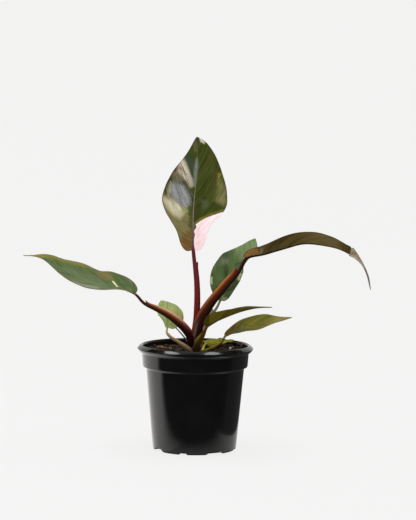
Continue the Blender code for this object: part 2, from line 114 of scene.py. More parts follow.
# A stalk is a path with its radius at the foot and at the blade. Its sheath is a pair of wings on
# the side it faces, up to the share `end`, `height` tall, with a free point `tip` long.
# A blade hangs on its midrib: half-widths left and right of it, where its upper side looks, how many
# degrees its halves rise, and how far its lobes reach back. `wave` is the height and the count of
# the waves of its margin. `veins` is how steeply the side veins run at the base and at the tip.
LEAVES = {
    "upright": dict(
        stalk=[(-0.4, 1.8, 106.5), (-0.9, 1.0, 122), (0.3, 0.4, 134.7), (0.8, 0, 148), (0.8, 0, 161),
               (0.2, 0, 174.5), (-1.1, 0, 188)],
        radius=(3.1, 1.9), rib=1.25,
        sheath=dict(facing=(1, -0.5, 0), end=0.86, tip=2.5,
                    height=[(0, 2.8), (0.2, 3.6), (0.6, 3.4), (1, 2.8)]),
        midrib=[(-3, 0, 205.5), (-3.6, 0, 226.5), (-3.1, 2, 252), (-0.9, 5.5, 278), (0.2, 10, 300),
                (-0.6, 16, 322)],
        facing=[(0, (0, -1, 0)), (1, (0, -1, 0.3))],
        widths=[(0, 1.5, 1.5), (0.015, 8, 7.5), (0.06, 12.5, 12), (0.17, 16.9, 16.1), (0.26, 23.7, 21.8),
                (0.33, 29.1, 30.9), (0.43, 33.2, 34.8), (0.53, 31.2, 33.3), (0.66, 25.5, 28), (0.8, 15, 20.5),
                (0.9, 7.5, 13.5), (0.96, 3.5, 8), (1, 0.5, 0.8)],
        lift=[(0, 14, 18), (0.5, 8, 10), (1, 4, 6)],
        lobes=2.0, wave=(0.5, 3), veins=(0.35, 2.2),
    ),
    "right": dict(
        stalk=[(2.2, -4.8, 105.5), (3.1, -7.6, 115.4), (5.4, -8.7, 128), (8.1, -9.2, 134.7),
               (15.6, -10.2, 148.6), (30.1, -12.5, 167.9), (42.9, -15, 183.9)],
        radius=(3.0, 1.9), rib=1.0,
        sheath=dict(facing=(-0.8, -0.2, 0.6), end=0.84, tip=3.0,
                    height=[(0, 3), (0.1, 4), (0.2, 7.4), (0.35, 7.4), (0.6, 6.4), (0.85, 5.8), (1, 4.6)]),
        midrib=[(51.9, -18, 199.6), (70, -20, 204.5), (90, -22, 210.5), (109, -24, 215.5),
                (130, -26, 214), (146, -27, 210.2), (158, -28.5, 204), (168.3, -30, 195.3), (174, -30, 184.5),
                (177.4, -30, 169.5)],
        facing=[(0, (0, -0.05, 1)), (0.699, (0.25, 0, 1)), (0.722, (0.5, -0.9, 0.4)), (1, (0.5, -1, 0.2))],
        widths=[(0, 1.5, 1.5), (0.015, 9, 9), (0.06, 15, 15), (0.15, 22, 20), (0.3, 28, 26), (0.45, 27, 27),
                (0.58, 20.5, 20.5), (0.66, 14, 13.6), (0.7, 12, 11.6), (0.72, 7.4, 2.4), (0.74, 6, 1.4),
                (0.76, 4.8, 1.2), (0.78, 3.5, 1.2), (0.8, 2.6, 1.1), (0.84, 1.5, 0.9),
                (0.93, 0.8, 0.8), (1, 0.3, 0.3)],
        lift=[(0, 20, 34), (0.3, 14, 30), (0.5, 14, 30), (0.6, 16, 31), (0.66, 20, 36), (0.7, 24, 40),
              (0.73, 12, 12), (1, 10, 10)],
        lobes=3.6, wave=(0.3, 4), veins=(0.35, 2.2),
    ),
    "left": dict(
        stalk=[(-4.8, -2.4, 106.5), (-5.4, -3.8, 113.5), (-10.1, -5.5, 121.6), (-18.3, -7.5, 130.3),
               (-30.3, -10.3, 139.4), (-39.8, -13, 144.9), (-53.2, -16, 152.3)],
        radius=(3.1, 1.3), rib=0.8,
        sheath=dict(facing=(0.5, -0.1, 0.85), end=0.82, tip=3.0,
                    height=[(0, 2.7), (0.2, 5.6), (0.5, 5.6), (0.8, 4.2), (1, 2.4)]),
        midrib=[(-61.6, -18, 161.3), (-72, -19.5, 166.5), (-92, -22, 171), (-113, -24, 177.5),
                (-136, -26, 188), (-156, -28, 199.5), (-175, -28, 200.5)],
        facing=[(0, (0, -0.25, 1)), (0.5, (0, -0.32, 1)), (1, (0, -0.3, 1))],
        widths=[(0, 1.5, 1.5), (0.015, 9, 9), (0.06, 16, 15.5), (0.15, 22, 21), (0.3, 27, 26),
                (0.45, 26, 26), (0.6, 20, 21), (0.74, 12, 13), (0.84, 5, 6), (0.92, 1.8, 2.2), (1, 0.5, 0.5)],
        lift=[(0, 20, 24), (0.2, 14, 18), (0.33, 9, 6), (0.45, 4, 9), (1, 2, 6)],
        lobes=2.0, wave=(0.3, 4), veins=(0.35, 2.4),
    ),
    "back": dict(
        stalk=[(4.6, 4.4, 105.5), (6.4, 6.4, 113), (8.8, 8.2, 121.5), (11.8, 10, 130.4), (17, 13, 138.2),
               (22, 16.5, 145)],
        radius=(2.3, 1.2),
        sheath=dict(facing=(-0.8, -0.3, 0.5), end=0.72, tip=2.5,
                    height=[(0, 2.4), (0.25, 3.8), (1, 2.2)]),
        midrib=[(25.2, 20.2, 151.8), (29, 22, 165), (34, 25, 179.5), (42, 29, 193.5), (53, 35, 205.5),
                (61.9, 42, 215.5)],
        facing=[(0, (-0.1, -1, 0.1)), (1, (-0.1, -1, 0.5))],
        widths=[(0, 1.3, 1.3), (0.02, 6, 5), (0.08, 10, 9), (0.2, 15.8, 12), (0.35, 18, 14.8),
                (0.47, 17, 13.9), (0.56, 15.8, 10.8), (0.62, 12.6, 10.2), (0.7, 9.4, 9.8), (0.79, 6.9, 9.2),
                (0.9, 4.1, 8.2), (0.94, 2.8, 5.6), (0.975, 1.4, 2.6), (1, 0.4, 0.4)],
        lift=[(0, 16, 16), (1, 8, 8)],
        lobes=1.5, wave=(0.3, 3), veins=(0.4, 2.0),
    ),
    "upper_low": dict(
        stalk=[(0.2, -5.8, 100.6), (1.4, -11, 104), (4.4, -16.5, 110.5), (8.4, -20.5, 120)],
        radius=(2.2, 1.4),
        sheath=dict(facing=(-0.6, -0.1, 0.6), end=0.84, tip=2.0,
                    height=[(0, 2.2), (0.3, 4), (0.55, 5.2), (1, 2)]),
        midrib=[(11.9, -23, 129.1), (20, -24, 135), (32, -25, 140.5), (47, -26, 146), (63, -27.5, 149.6),
                (78, -28.5, 150.4)],
        facing=[(0, (-0.1, -0.05, 1)), (1, (0, -0.1, 1))],
        widths=[(0, 1.3, 1.3), (0.03, 5, 8), (0.1, 8, 13.5), (0.24, 13, 17), (0.42, 14, 15.5),
                (0.6, 10.5, 10.5), (0.78, 5, 5), (0.9, 2.2, 2.2), (1, 0.5, 0.5)],
        lift=[(0, 20, 40), (0.1, 20, 44), (0.3, 14, 34), (1, 8, 12)],
        lobes=1.8, wave=(0.2, 3), veins=(0.4, 2.2),
    ),
    "lower_low": dict(
        stalk=[(5.0, -1.0, 100.8), (8.8, -3.2, 101.8), (16.3, -6, 105.3), (24, -7.6, 109.4),
               (28, -8.8, 113.2)],
        radius=(1.3, 1.1),
        sheath=None,
        midrib=[(30.2, -10.1, 117.5), (36, -11, 122.5), (46, -12.3, 127.5), (61, -14, 131.2),
                (78, -16.5, 135.5), (98.7, -18, 139)],
        facing=[(0, (0, -0.4, 1)), (0.5, (0, -0.42, 1)), (1, (0, -0.3, 1))],
        widths=[(0, 1.2, 1.2), (0.03, 4, 4), (0.12, 7.5, 7.5), (0.3, 12.5, 14), (0.48, 16, 15.5),
                (0.62, 14, 13.5), (0.78, 8, 7.5), (0.9, 3.2, 3), (1, 0.5, 0.5)],
        lift=[(0, 10, 10), (1, 3, 3)],
        lobes=1.0, wave=(0.3, 3), veins=(0.4, 2.2),
    ),
    "pale": dict(
        stalk=[(-4.2, -4.6, 100.2), (-7.4, -8.4, 104), (-12.4, -9.4, 107.8), (-18.8, -8.4, 111.8),
               (-26.2, -4.6, 116.2), (-29.4, -1, 119.4)],
        radius=(1.9, 0.9),
        sheath=dict(facing=(0.2, -0.5, 0.8), end=0.74, tip=2.0,
                    height=[(0, 2), (0.2, 2.8), (1, 1.8)]),
        midrib=[(-29.3, 4.1, 124.6), (-29.5, 6.5, 131.4), (-30.8, 10, 138.6), (-33.3, 14, 145.6),
                (-36.8, 17.5, 151.4)],
        facing=[(0, (-0.1, 1, 0.6)), (1, (-0.2, 1, 0.7))],
        widths=[(0, 1.2, 1.2), (0.03, 6.5, 2.2), (0.07, 10.6, 2.6), (0.12, 14.4, 3), (0.22, 17, 4),
                (0.33, 17.7, 5.6), (0.43, 17.4, 7), (0.56, 15.2, 8.8), (0.67, 12.2, 9), (0.77, 8, 8),
                (0.88, 4.6, 6.4), (0.95, 2.6, 4.4), (1, 0.4, 0.4)],
        lift=[(0, 12, 12), (1, 6, 6)],
        lobes=3.0, wave=(0.2, 3), veins=(0.4, 2.0),
    ),
    "lime": dict(
        stalk=[(7.0, 5.4, 100.4), (8.0, 8.4, 102.2), (9.0, 11.8, 104.4), (9.9, 14.6, 105.9)],
        radius=(1.3, 1.0),
        sheath=None,
        midrib=[(10.9, 16.6, 106.8), (18, 19.5, 107.8), (29, 24, 108.6), (40.5, 28, 108.8)],
        facing=[(0, (0.1, -0.18, 1)), (1, (0, -0.18, 1))],
        widths=[(0, 1.2, 1.2), (0.04, 6, 8), (0.12, 9.4, 13.6), (0.24, 10.4, 10.8), (0.4, 10, 8.4),
                (0.66, 8.3, 6), (0.86, 4.4, 3.4), (1, 0.6, 0.6)],
        lift=[(0, 4, -16), (0.2, 2, -8), (0.38, -2, 3), (0.5, 0, 4), (0.7, 4, 0), (1, 3, 3)],
        lobes=1.0, wave=(0.7, 3), veins=(0.4, 2.0),
    ),
}
BLADE_CELLS = {"upright": (150, 72), "right": (170, 60), "left": (150, 60)}
SMALL_BLADE_CELLS = (90, 48)

DRY_STALK = [(-3.6, 3.8, 105.5), (-7.7, 6, 109.7), (-11.9, 8, 114.7), (-20.3, 12, 123.5), (-27, 15, 130)]
DRY_STALK_RADIUS = 0.75


# Curves and leaf shapes

def curve_through(knots, values, at, steady=False):
    """Values of a smooth cubic curve through the given values. A steady one never overshoots them."""
    knots = np.asarray(knots, float)
    values = np.asarray(values, float).reshape(len(knots), -1)
    at = np.clip(np.atleast_1d(np.asarray(at, float)), knots[0], knots[-1])
    steps = np.diff(knots)[:, None]
    secants = np.diff(values, axis=0) / steps
    slopes = np.vstack([secants[:1], (secants[:-1] * steps[1:] + secants[1:] * steps[:-1])
                        / (steps[1:] + steps[:-1]), secants[-1:]])
    if steady:
        before, after = secants[:-1], secants[1:]
        same_way = before * after > 0
        slopes[1:-1] = np.where(same_way, 2 * before * after / np.where(same_way, before + after, 1), 0)
    cell = np.clip(np.searchsorted(knots, at, side="right") - 1, 0, len(knots) - 2)
    width = steps[cell]
    t = (at - knots[cell])[:, None] / width
    return ((2 * t**3 - 3 * t**2 + 1) * values[cell] + (t**3 - 2 * t**2 + t) * width * slopes[cell]
            + (3 * t**2 - 2 * t**3) * values[cell + 1] + (t**3 - t**2) * width * slopes[cell + 1])


def profile_at(table, at):
    """The row of a table [(share, value, value...)] at each share."""
    return curve_through([row[0] for row in table], [np.hstack(row[1:]) for row in table], at, steady=True)


def unit(vectors):
    return vectors / np.linalg.norm(vectors, axis=-1, keepdims=True)


def smoothstep(low, high, value):
    t = np.clip((value - low) / (high - low), 0, 1)
    return t * t * (3 - 2 * t)


class Path:
    """A smooth path through points, read by the share of its length."""

    SAMPLES = 400

    def __init__(self, points):
        points = np.asarray(points, float)
        chords = np.hstack([0, np.cumsum(np.linalg.norm(np.diff(points, axis=0), axis=1))])
        self.line = curve_through(chords, points, np.linspace(0, chords[-1], self.SAMPLES))
        run = np.hstack([0, np.cumsum(np.linalg.norm(np.diff(self.line, axis=0), axis=1))])
        self.length = run[-1]
        self.share = run / self.length
        self.heading = unit(np.gradient(self.line, run, axis=0))

    def _read(self, rows, at):
        return np.stack([np.interp(at, self.share, column) for column in rows.T], axis=-1)

    def point(self, at):
        return self._read(self.line, at)

    def tangent(self, at):
        return unit(self._read(self.heading, at))


def frame_along(path, at, facing):
    """Tangent, the side that looks along `facing`, and the right-hand side, at each share."""
    tangent = path.tangent(at)
    normal = unit(facing - (facing * tangent).sum(-1, keepdims=True) * tangent)
    return tangent, normal, np.cross(tangent, normal)


def leaf_spine(leaf):
    """The line of a leaf from the foot of its stalk to its tip, and the share where the blade starts."""
    spine = Path(leaf["stalk"] + leaf["midrib"])
    start = np.argmin(np.linalg.norm(spine.line - np.array(leaf["midrib"][0]), axis=1))
    return spine, spine.share[start]


def blade_points(leaf, spine, start, share, across):
    """Places on the blade, and their distances across and along it in millimetres."""
    along = start + (1 - start) * share
    tangent, normal, right = frame_along(spine, along, profile_at(leaf["facing"], share))
    side = (across > 0).astype(int)
    pick = np.arange(len(share))
    width = profile_at(leaf["widths"], share)[pick, side]
    lift = np.radians(profile_at(leaf["lift"], share)[pick, side])
    reach = np.abs(across) * width
    sideways = np.sign(across) * reach * np.cos(lift)
    rise = reach * np.sin(lift)
    clear_of_stalk = 1 - np.exp(-np.maximum(reach - SINUS_HALF_WIDTH, 0) / SINUS_HALF_WIDTH)
    back = leaf["lobes"] * clear_of_stalk * np.exp(-share / LOBE_REACH)
    places = (spine.point(along) + sideways[:, None] * right + rise[:, None] * normal
              - back[:, None] * tangent)
    length = spine.length * (1 - start)
    return places, np.sign(across) * reach, share * length - back, width, normal


def rib_radius(leaf, share):
    """Radius of the midrib: the stalk thins into it at the blade's base, and it thins to the tip."""
    rib = leaf.get("rib", leaf["radius"][1] * 0.7)
    return rib * (0.12 + 0.88 * (1 - share) ** 1.4) + (leaf["radius"][1] - rib) * np.exp(-share / 0.035)


# Meshes

def new_object(name, mesh, materials=()):
    obj = bpy.data.objects.new(name, mesh)
    bpy.context.scene.collection.objects.link(obj)
    for material in materials:
        mesh.materials.append(material)
    mesh.shade_smooth()
    return obj


def mesh_of(name, bm):
    """A mesh from a bmesh, which is freed."""
    mesh = bpy.data.meshes.new(name)
    bm.to_mesh(mesh)
    bm.free()
    return mesh


def mesh_from_arrays(name, places, faces, material_index=None):
    """A mesh from places in millimetres and a list of faces."""
    mesh = bpy.data.meshes.new(name)
    mesh.from_pydata((np.asarray(places) * MM).tolist(), [], faces)
    if material_index is not None:
        mesh.polygons.foreach_set("material_index", material_index)
    mesh.update()
    return mesh


def unit_circle(count, start=0.0):
    angles = start + np.arange(count) * math.tau / count
    return np.stack([np.cos(angles), np.sin(angles)], axis=-1)


def tube(name, rings, turned=False):
    """A closed mesh over rings of equally many points in millimetres, capped at both ends."""
    places = np.vstack(rings)
    index = np.arange(len(places)).reshape(-1, len(rings[0]))
    a, b = index[:-1], index[1:]
    quads = np.stack([a, np.roll(a, -1, axis=1), np.roll(b, -1, axis=1), b], axis=-1).reshape(-1, 4)
    caps = [index[0, ::-1], index[-1]]
    if turned:
        quads, caps = quads[:, [0, 3, 2, 1]], [cap[::-1] for cap in caps]
    return mesh_from_arrays(name, places, quads.tolist() + [cap.tolist() for cap in caps])


def set_attribute(mesh, name, values):
    values = np.asarray(values, np.float32)
    if values.ndim == 2:
        mesh.attributes.new(name, "FLOAT_VECTOR", "POINT").data.foreach_set("vector", values.ravel())
    else:
        mesh.attributes.new(name, "FLOAT", "POINT").data.foreach_set("value", values)


def dress(obj, slot, *nodes):
    """Makes a piece ride on the object's one body and stand for the given nodes."""
    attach(obj, "root")
    if nodes:
        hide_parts(*nodes)
    return obj


# Shader helpers

def srgb(red, green, blue):
    """A screen colour of 0 to 255 as linear light."""
    return tuple(c / 3294.6 if c <= 10 else ((c / 255 + 0.055) / 1.055) ** 2.4 for c in (red, green, blue))


class Shader:
    """One material, with short calls for its nodes. Values may be sockets or plain numbers."""

    def __init__(self, name, **sockets):
        self.material = bpy.data.materials.new(name)
        self.material.use_nodes = True
        self.tree = self.material.node_tree
        self.principled = self.tree.nodes["Principled BSDF"]
        for socket, value in sockets.items():
            self.set(socket.replace("_", " ").title().replace("Ior", "IOR"), value)

    def set(self, socket, value):
        self._feed(self.principled.inputs[socket], value)

    def _feed(self, socket, value):
        if isinstance(value, bpy.types.NodeSocket):
            self.tree.links.new(value, socket)
        elif hasattr(socket.default_value, "__len__"):
            value = tuple(value)
            socket.default_value = value + (1.0,) * (len(socket.default_value) - len(value))
        else:
            socket.default_value = value

    def _node(self, kind, inputs=(), **settings):
        node = self.tree.nodes.new(kind)
        for key, value in settings.items():
            setattr(node, key, value)
        for key, value in dict(inputs).items():
            self._feed(node.inputs[key], value)
        return node

    def attribute(self, name, output="Fac"):
        return self._node("ShaderNodeAttribute", attribute_name=name).outputs[output]

    def place(self):
        return self._node("ShaderNodeTexCoord").outputs["Object"]

    def parts(self, vector):
        return self._node("ShaderNodeSeparateXYZ", {0: vector}).outputs

    def vector(self, x, y, z=0.0):
        return self._node("ShaderNodeCombineXYZ", {0: x, 1: y, 2: z}).outputs[0]

    def math(self, operation, a, b=0.0, c=0.0):
        return self._node("ShaderNodeMath", {0: a, 1: b, 2: c}, operation=operation).outputs[0]

    def times(self, a, b):
        return self.math("MULTIPLY", a, b)

    def around(self, value, gain, base):
        """`base`, moved up and down by a noise."""
        return self.math("MULTIPLY_ADD", self.math("SUBTRACT", value, 0.5), gain, base)

    def apart(self, a, b):
        return self.math("ABSOLUTE", self.math("SUBTRACT", a, b))

    def span(self, value, low, high, smooth=True):
        """0 below `low` and 1 above `high`."""
        kind = "SMOOTHSTEP" if smooth else "LINEAR"
        node = self._node("ShaderNodeMapRange", {"Value": value, "From Min": low, "From Max": high},
                          interpolation_type=kind)
        return node.outputs["Result"]

    def noise(self, vector, scale=1.0, detail=3.0, roughness=0.55, distortion=0.0):
        node = self._node("ShaderNodeTexNoise", {"Vector": vector, "Scale": scale, "Detail": detail,
                                                 "Roughness": roughness, "Distortion": distortion})
        return node.outputs["Fac"]

    def mix(self, share, a, b):
        node = self._node("ShaderNodeMix", {"Factor": share}, data_type="RGBA")
        self._feed(node.inputs[6], a)
        self._feed(node.inputs[7], b)
        return node.outputs[2]

    def over(self, colour, other, value, low, high, strength=None):
        """`colour`, which turns into `other` as `value` goes from `low` to `high`."""
        share = self.span(value, low, high)
        return self.mix(share if strength is None else self.times(share, strength), colour, other)

    def bump(self, height, strength, distance):
        node = self._node("ShaderNodeBump", {"Height": height, "Strength": strength, "Distance": distance})
        self.set("Normal", node.outputs[0])


# Blades

def patch_field(patch, across, along):
    """How far inside a patch each place lies, in millimetres. A patch is a polygon or a thick line."""
    points = np.array(patch["shape"], float)
    place = np.stack([across, along], axis=-1)
    closed = "radius" not in patch
    ends = np.roll(points, -1, axis=0) if closed else points[1:]
    nearest = np.full(len(place), 1e9)
    inside = np.zeros(len(place), bool)
    for a, b in zip(points, ends):
        run = b - a
        t = np.clip(((place - a) @ run) / max(run @ run, 1e-9), 0, 1)
        nearest = np.minimum(nearest, np.linalg.norm(place - a - t[:, None] * run, axis=1))
        if closed and a[1] != b[1]:
            crosses = (a[1] > place[:, 1]) != (b[1] > place[:, 1])
            inside ^= crosses & (place[:, 0] < a[0] + (place[:, 1] - a[1]) * run[0] / run[1])
    if closed:
        return np.where(inside, nearest, -nearest)
    return patch["radius"] - nearest


def make_blade(kind, leaf, materials):
    """The blade as two skins joined by a thin margin, with a sunk midrib and veins."""
    cells_along, cells_across = BLADE_CELLS.get(kind, SMALL_BLADE_CELLS)
    spine, start = leaf_spine(leaf)
    rows = (1 - np.cos(np.linspace(0, math.pi, cells_along + 1))) / 2
    row_turn = np.linspace(-1, 1, cells_across + 1)
    columns = np.sign(row_turn) * np.abs(row_turn) ** 0.9
    share, across = (grid.ravel() for grid in np.meshgrid(rows, columns, indexing="ij"))
    places, reach, along, width, up = blade_points(leaf, spine, start, share, across)
    shape = (cells_along + 1, cells_across + 1, 3)
    grid = places.reshape(shape)
    normal = unit(np.cross(np.gradient(grid, axis=0), np.gradient(grid, axis=1)) + 1e-9).reshape(-1, 3)
    normal *= np.sign((normal * up).sum(-1, keepdims=True))
    steep = leaf["veins"][0] + (leaf["veins"][1] - leaf["veins"][0]) * share
    phase = along - steep * np.abs(reach)
    edge = width - np.abs(reach)
    rib = rib_radius(leaf, share)
    inner = 1 - np.abs(across) ** 4
    vein = np.abs((phase / VEIN_SPACING) % 1 - 0.5) * 2
    quilt = 0.16 * inner * (smoothstep(0.0, 0.55, vein) - 0.6)
    size, count = leaf["wave"]
    wave = size * np.abs(across) ** 3 * np.sin(math.tau * count * share + np.where(across > 0, 0.6, 2.4))
    groove = 0.25 * np.exp(-(reach / (rib * 1.3)) ** 2)
    half = (MARGIN_THICKNESS + (BLADE_THICKNESS - MARGIN_THICKNESS) * smoothstep(0, 2.5, edge)) / 2
    middle = places + ((quilt + wave) * smoothstep(0, 0.04, share))[:, None] * normal
    top = middle + (half - groove)[:, None] * normal
    bottom = middle - half[:, None] * normal
    count_points = len(share)
    index = np.arange(count_points).reshape(shape[:2])
    a, b = index[:-1, :-1].ravel(), index[1:, :-1].ravel()
    c, d = index[1:, 1:].ravel(), index[:-1, 1:].ravel()
    upper = np.stack([a, d, c, b], axis=-1)
    lower = np.stack([a, b, c, d], axis=-1) + count_points
    loop = np.hstack([index[0, :], index[1:, -1], index[-1, -2::-1], index[-2:0:-1, 0]])
    after = np.roll(loop, -1)
    rim = np.stack([loop, loop + count_points, after + count_points, after], axis=-1)
    faces = np.vstack([upper, lower, rim])
    slots = np.repeat([0, 1, 2], [len(upper), len(lower), len(rim)])
    mesh = mesh_from_arrays(f"{kind}_blade_look", np.vstack([top, bottom]), faces.tolist(), slots)
    set_attribute(mesh, "leaf", np.tile(np.stack([reach, along, phase], axis=-1), (2, 1)))
    set_attribute(mesh, "edge", np.tile(edge, 2))
    set_attribute(mesh, "rib", np.tile(np.abs(reach) / rib, 2))
    for side in ("upper", "under"):
        for number, patch in enumerate(LOOKS[kind][side].get("patches", ())):
            set_attribute(mesh, f"{side}{number}", np.tile(patch_field(patch, reach, along), 2))
    obj = new_object(f"{kind}_blade_look", mesh, materials)
    return dress(obj, frame_slot(f"{kind}_blade"), f"{kind}_blade")


def frame_slot(node):
    """The record's material slot of a node."""
    return next(row["material_slot"] for row in frame["record"]["subparts"] if row["node"] == node)


def blade_material(name, side, look, seed):
    """Leaf skin: streaks along the side veins, marbled patches, a midrib line and a thin dark margin; a few patches
    are painted sheen.
    """
    gloss = look.get("roughness", 0.36)
    shader = Shader(name, roughness=gloss, specular_ior_level=look.get("specular", 0.35))
    reach, along, phase = shader.parts(shader.attribute("leaf", "Vector"))
    out = shader.math("ABSOLUTE", reach)
    side_seed = shader.times(shader.math("SIGN", reach), 7.3)

    def streaks(width, length, shift, detail=3.0, distortion=0.0):
        """Noise drawn out along the side veins, with its width and length in millimetres."""
        place = shader.vector(shader.math("DIVIDE", phase, width), shader.math("DIVIDE", out, length),
                              shader.math("ADD", side_seed, seed + shift))
        return shader.noise(place, detail=detail, distortion=distortion)

    broad = streaks(6.5, 40.0, 0.0, detail=2.0)
    middle = streaks(2.2, 20.0, 3.7, distortion=0.4)
    fine = streaks(0.7, 7.0, 8.1)
    cloud = shader.noise(shader.vector(shader.math("DIVIDE", reach, 11.0), shader.math("DIVIDE", along, 16.0),
                                       seed + 9.1))
    grain = shader.noise(shader.vector(reach, along, seed), scale=1.1, detail=4.0, roughness=0.6)

    def add_patch(colour, number, patch):
        jag, soft = patch.get("jag", 3.0), patch.get("soft", 2.0)
        ragged = shader.around(middle, 2 * jag, shader.attribute(f"{side}{number}"))
        ragged = shader.around(fine, jag, ragged)
        ragged = shader.around(broad, patch.get("sway", 3.0), ragged)
        mask = shader.times(shader.span(ragged, -soft, soft), patch.get("strength", 1.0))
        tone = shader.math("MULTIPLY_ADD", fine, 0.5, shader.times(middle, 0.5))
        if "mottle" in patch:
            tone = shader.around(grain, patch["mottle"], tone)
        streaky = shader.over(patch["colour"], patch.get("other", patch["colour"]), tone, 0.38, 0.6)
        return shader.mix(mask, colour, streaky)

    colour = shader.over(look["dark"], look["light"], broad, 0.36, 0.64)
    colour = shader.over(colour, look["tint"], cloud, 0.45, 0.7, look.get("cloud", 0.5))
    colour = shader.over(colour, look.get("streak_colour", look["tint"]), middle, 0.52, 0.68,
                         look.get("streak", 0.45))
    patches = list(enumerate(look.get("patches", ())))
    for number, patch in patches:
        if not patch.get("over"):
            colour = add_patch(colour, number, patch)
    line = shader.apart(shader.math("FRACT", shader.math("DIVIDE", phase, VEIN_SPACING)), 0.5)
    colour = shader.over(colour, look.get("vein_colour", look["tint"]), line, 0.06, 0.0,
                         look.get("vein", 0.18))
    colour = shader.over(colour, look["dark"], grain, 0.53, 0.75, 0.32)
    colour = shader.over(colour, look.get("fleck_colour", look["light"]), fine, 0.56, 0.72,
                         look.get("fleck", 0.3))
    rib_reach = look.get("rib_reach", 1.0)
    colour = shader.over(colour, look["rib"], shader.attribute("rib"), rib_reach * 1.3, rib_reach * 0.7)
    edge = shader.around(cloud, 0.8, shader.attribute("edge"))
    colour = shader.over(colour, look["rim"], edge, look.get("rim_reach", 1.1), 0.2,
                         look.get("rim_strength", 0.85))
    for number, patch in patches:
        if patch.get("over"):
            colour = add_patch(colour, number, patch)
    shader.set("Base Color", colour)
    shader.set("Roughness", shader.around(cloud, 0.16, shader.math("MULTIPLY_ADD", fine, 0.08, gloss)))
    shader.bump(shader.math("MULTIPLY_ADD", fine, 0.7, shader.times(grain, 0.5)), 0.3, 0.0003)
    return shader.material


def rim_material(name, look):
    """The leaf's thin edge, with the colour of the patches that run over it."""
    shader = Shader(name, roughness=0.45)
    along = shader.parts(shader.attribute("leaf", "Vector"))[1]
    grain = shader.noise(shader.vector(along, 0.0), scale=0.35)
    darker = tuple(c * 0.5 for c in look["rim"])
    colour = shader.over(look["rim"], darker, grain, 0.4, 0.65)
    for number, patch in enumerate(look.get("patches", ())):
        if patch.get("over"):
            colour = shader.over(colour, patch["colour"], shader.attribute(f"upper{number}"), -0.6, 0.2)
    shader.set("Base Color", colour)
    return shader.material


# Stalks

def trough(radius, wing):
    """Outline of a sheathed stalk's section: a round back and two thin wings `wing` tall."""
    outline = unit_circle(SECTION_CORNERS, math.pi) * radius
    side = radius * 0.62
    inside = side - WING_THICKNESS
    outline[9] = (radius * 0.98, radius * 0.45)
    outline[10] = (side, wing)
    outline[11] = (inside, wing)
    outline[12] = (0, radius * 0.25)
    outline[13] = (-inside, wing)
    outline[14] = (-side, wing)
    outline[15] = (-radius * 0.98, radius * 0.45)
    return outline


def smooth_loop(points, steps):
    """A closed loop of points with `steps` points for each one, on a smooth curve."""
    before, after, next_one = (np.roll(points, shift, axis=0) for shift in (1, -1, -2))
    t = (np.arange(steps) / steps)[None, :, None]
    a, b, c, d = (side[:, None, :] for side in (before, points, after, next_one))
    loop = 0.5 * (2 * b + (c - a) * t + (2 * a - 5 * b + 4 * c - d) * t**2 + (3 * b - a - 3 * c + d) * t**3)
    return loop.reshape(-1, points.shape[1])


def make_stalk(kind, leaf, material):
    """The stalk with its sheath, running on under the blade as the midrib."""
    spine, start = leaf_spine(leaf)
    foot, head = leaf["radius"]
    sheath = leaf["sheath"]
    facing = np.array(sheath["facing"] if sheath else (0, 0, 1), float)
    end = sheath["end"] if sheath else 0
    round_section = unit_circle(SECTION_CORNERS * SECTION_STEPS, math.pi)
    shares = np.linspace(0, 1, 70)
    if sheath:
        shares = np.unique(np.hstack([shares, end + np.linspace(-0.05, 0.03, 13)]))
    rings, heights, runs, outs = [], [], [], []
    for share in np.clip(shares, 0, 1):
        radius = foot + (head - foot) * share
        at = np.array([share * start])
        tangent, normal, right = frame_along(spine, at, facing[None, :])
        outline = smooth_loop(trough(radius, radius), SECTION_STEPS)
        circle = round_section * radius
        lean = 0.0
        if sheath and share <= end:
            wing = max(profile_at(sheath["height"], share / end)[0, 0], radius)
            outline = smooth_loop(trough(radius, wing), SECTION_STEPS)
            lean = sheath["tip"] * smoothstep(end - 0.05, end, share)
            fade = 1.0
        else:
            fade = 0.0 if not sheath else 1 - smoothstep(end, end + 0.02, share)
        outline = fade * outline + (1 - fade) * circle
        high = np.clip((outline[:, 1] - radius * 0.5) / radius, 0, 1)[:, None]
        ring = spine.point(at) + outline[:, :1] * right + outline[:, 1:] * normal
        ring += high * lean * (tangent + 0.3 * normal)
        rings.append(ring)
        heights.append(outline[:, 1] / radius)
        outs.append(outline[:, 0] / radius)
        runs.append(np.full(len(ring), share))
    for share in np.linspace(0.006, 0.985, 60):
        at = np.array([start + (1 - start) * share])
        tangent, normal, right = frame_along(spine, at, profile_at(leaf["facing"], np.array([share])))
        radius = rib_radius(leaf, share)
        under = 0.62 * radius * smoothstep(0, 0.07, share) + 0.1 * smoothstep(0, 0.1, share)
        _, old_normal, old_right = frame_along(spine, at, facing[None, :])
        blend = smoothstep(0, 0.05, share)
        normal_here = unit(old_normal * (1 - blend) + normal * blend)
        right_here = np.cross(tangent, normal_here)
        circle = round_section * radius
        rings.append(spine.point(at) + circle[:, :1] * right_here + circle[:, 1:] * normal_here
                     - under * normal)
        heights.append(circle[:, 1] / radius)
        outs.append(circle[:, 0] / radius)
        runs.append(np.full(len(circle), 1 + share))
    mesh = tube(f"{kind}_petiole_look", rings)
    set_attribute(mesh, "stalk", np.stack([np.hstack(outs), np.hstack(heights), np.hstack(runs)], axis=-1))
    obj = new_object(f"{kind}_petiole_look", mesh, [material])
    return dress(obj, frame_slot(f"{kind}_petiole"), f"{kind}_petiole")


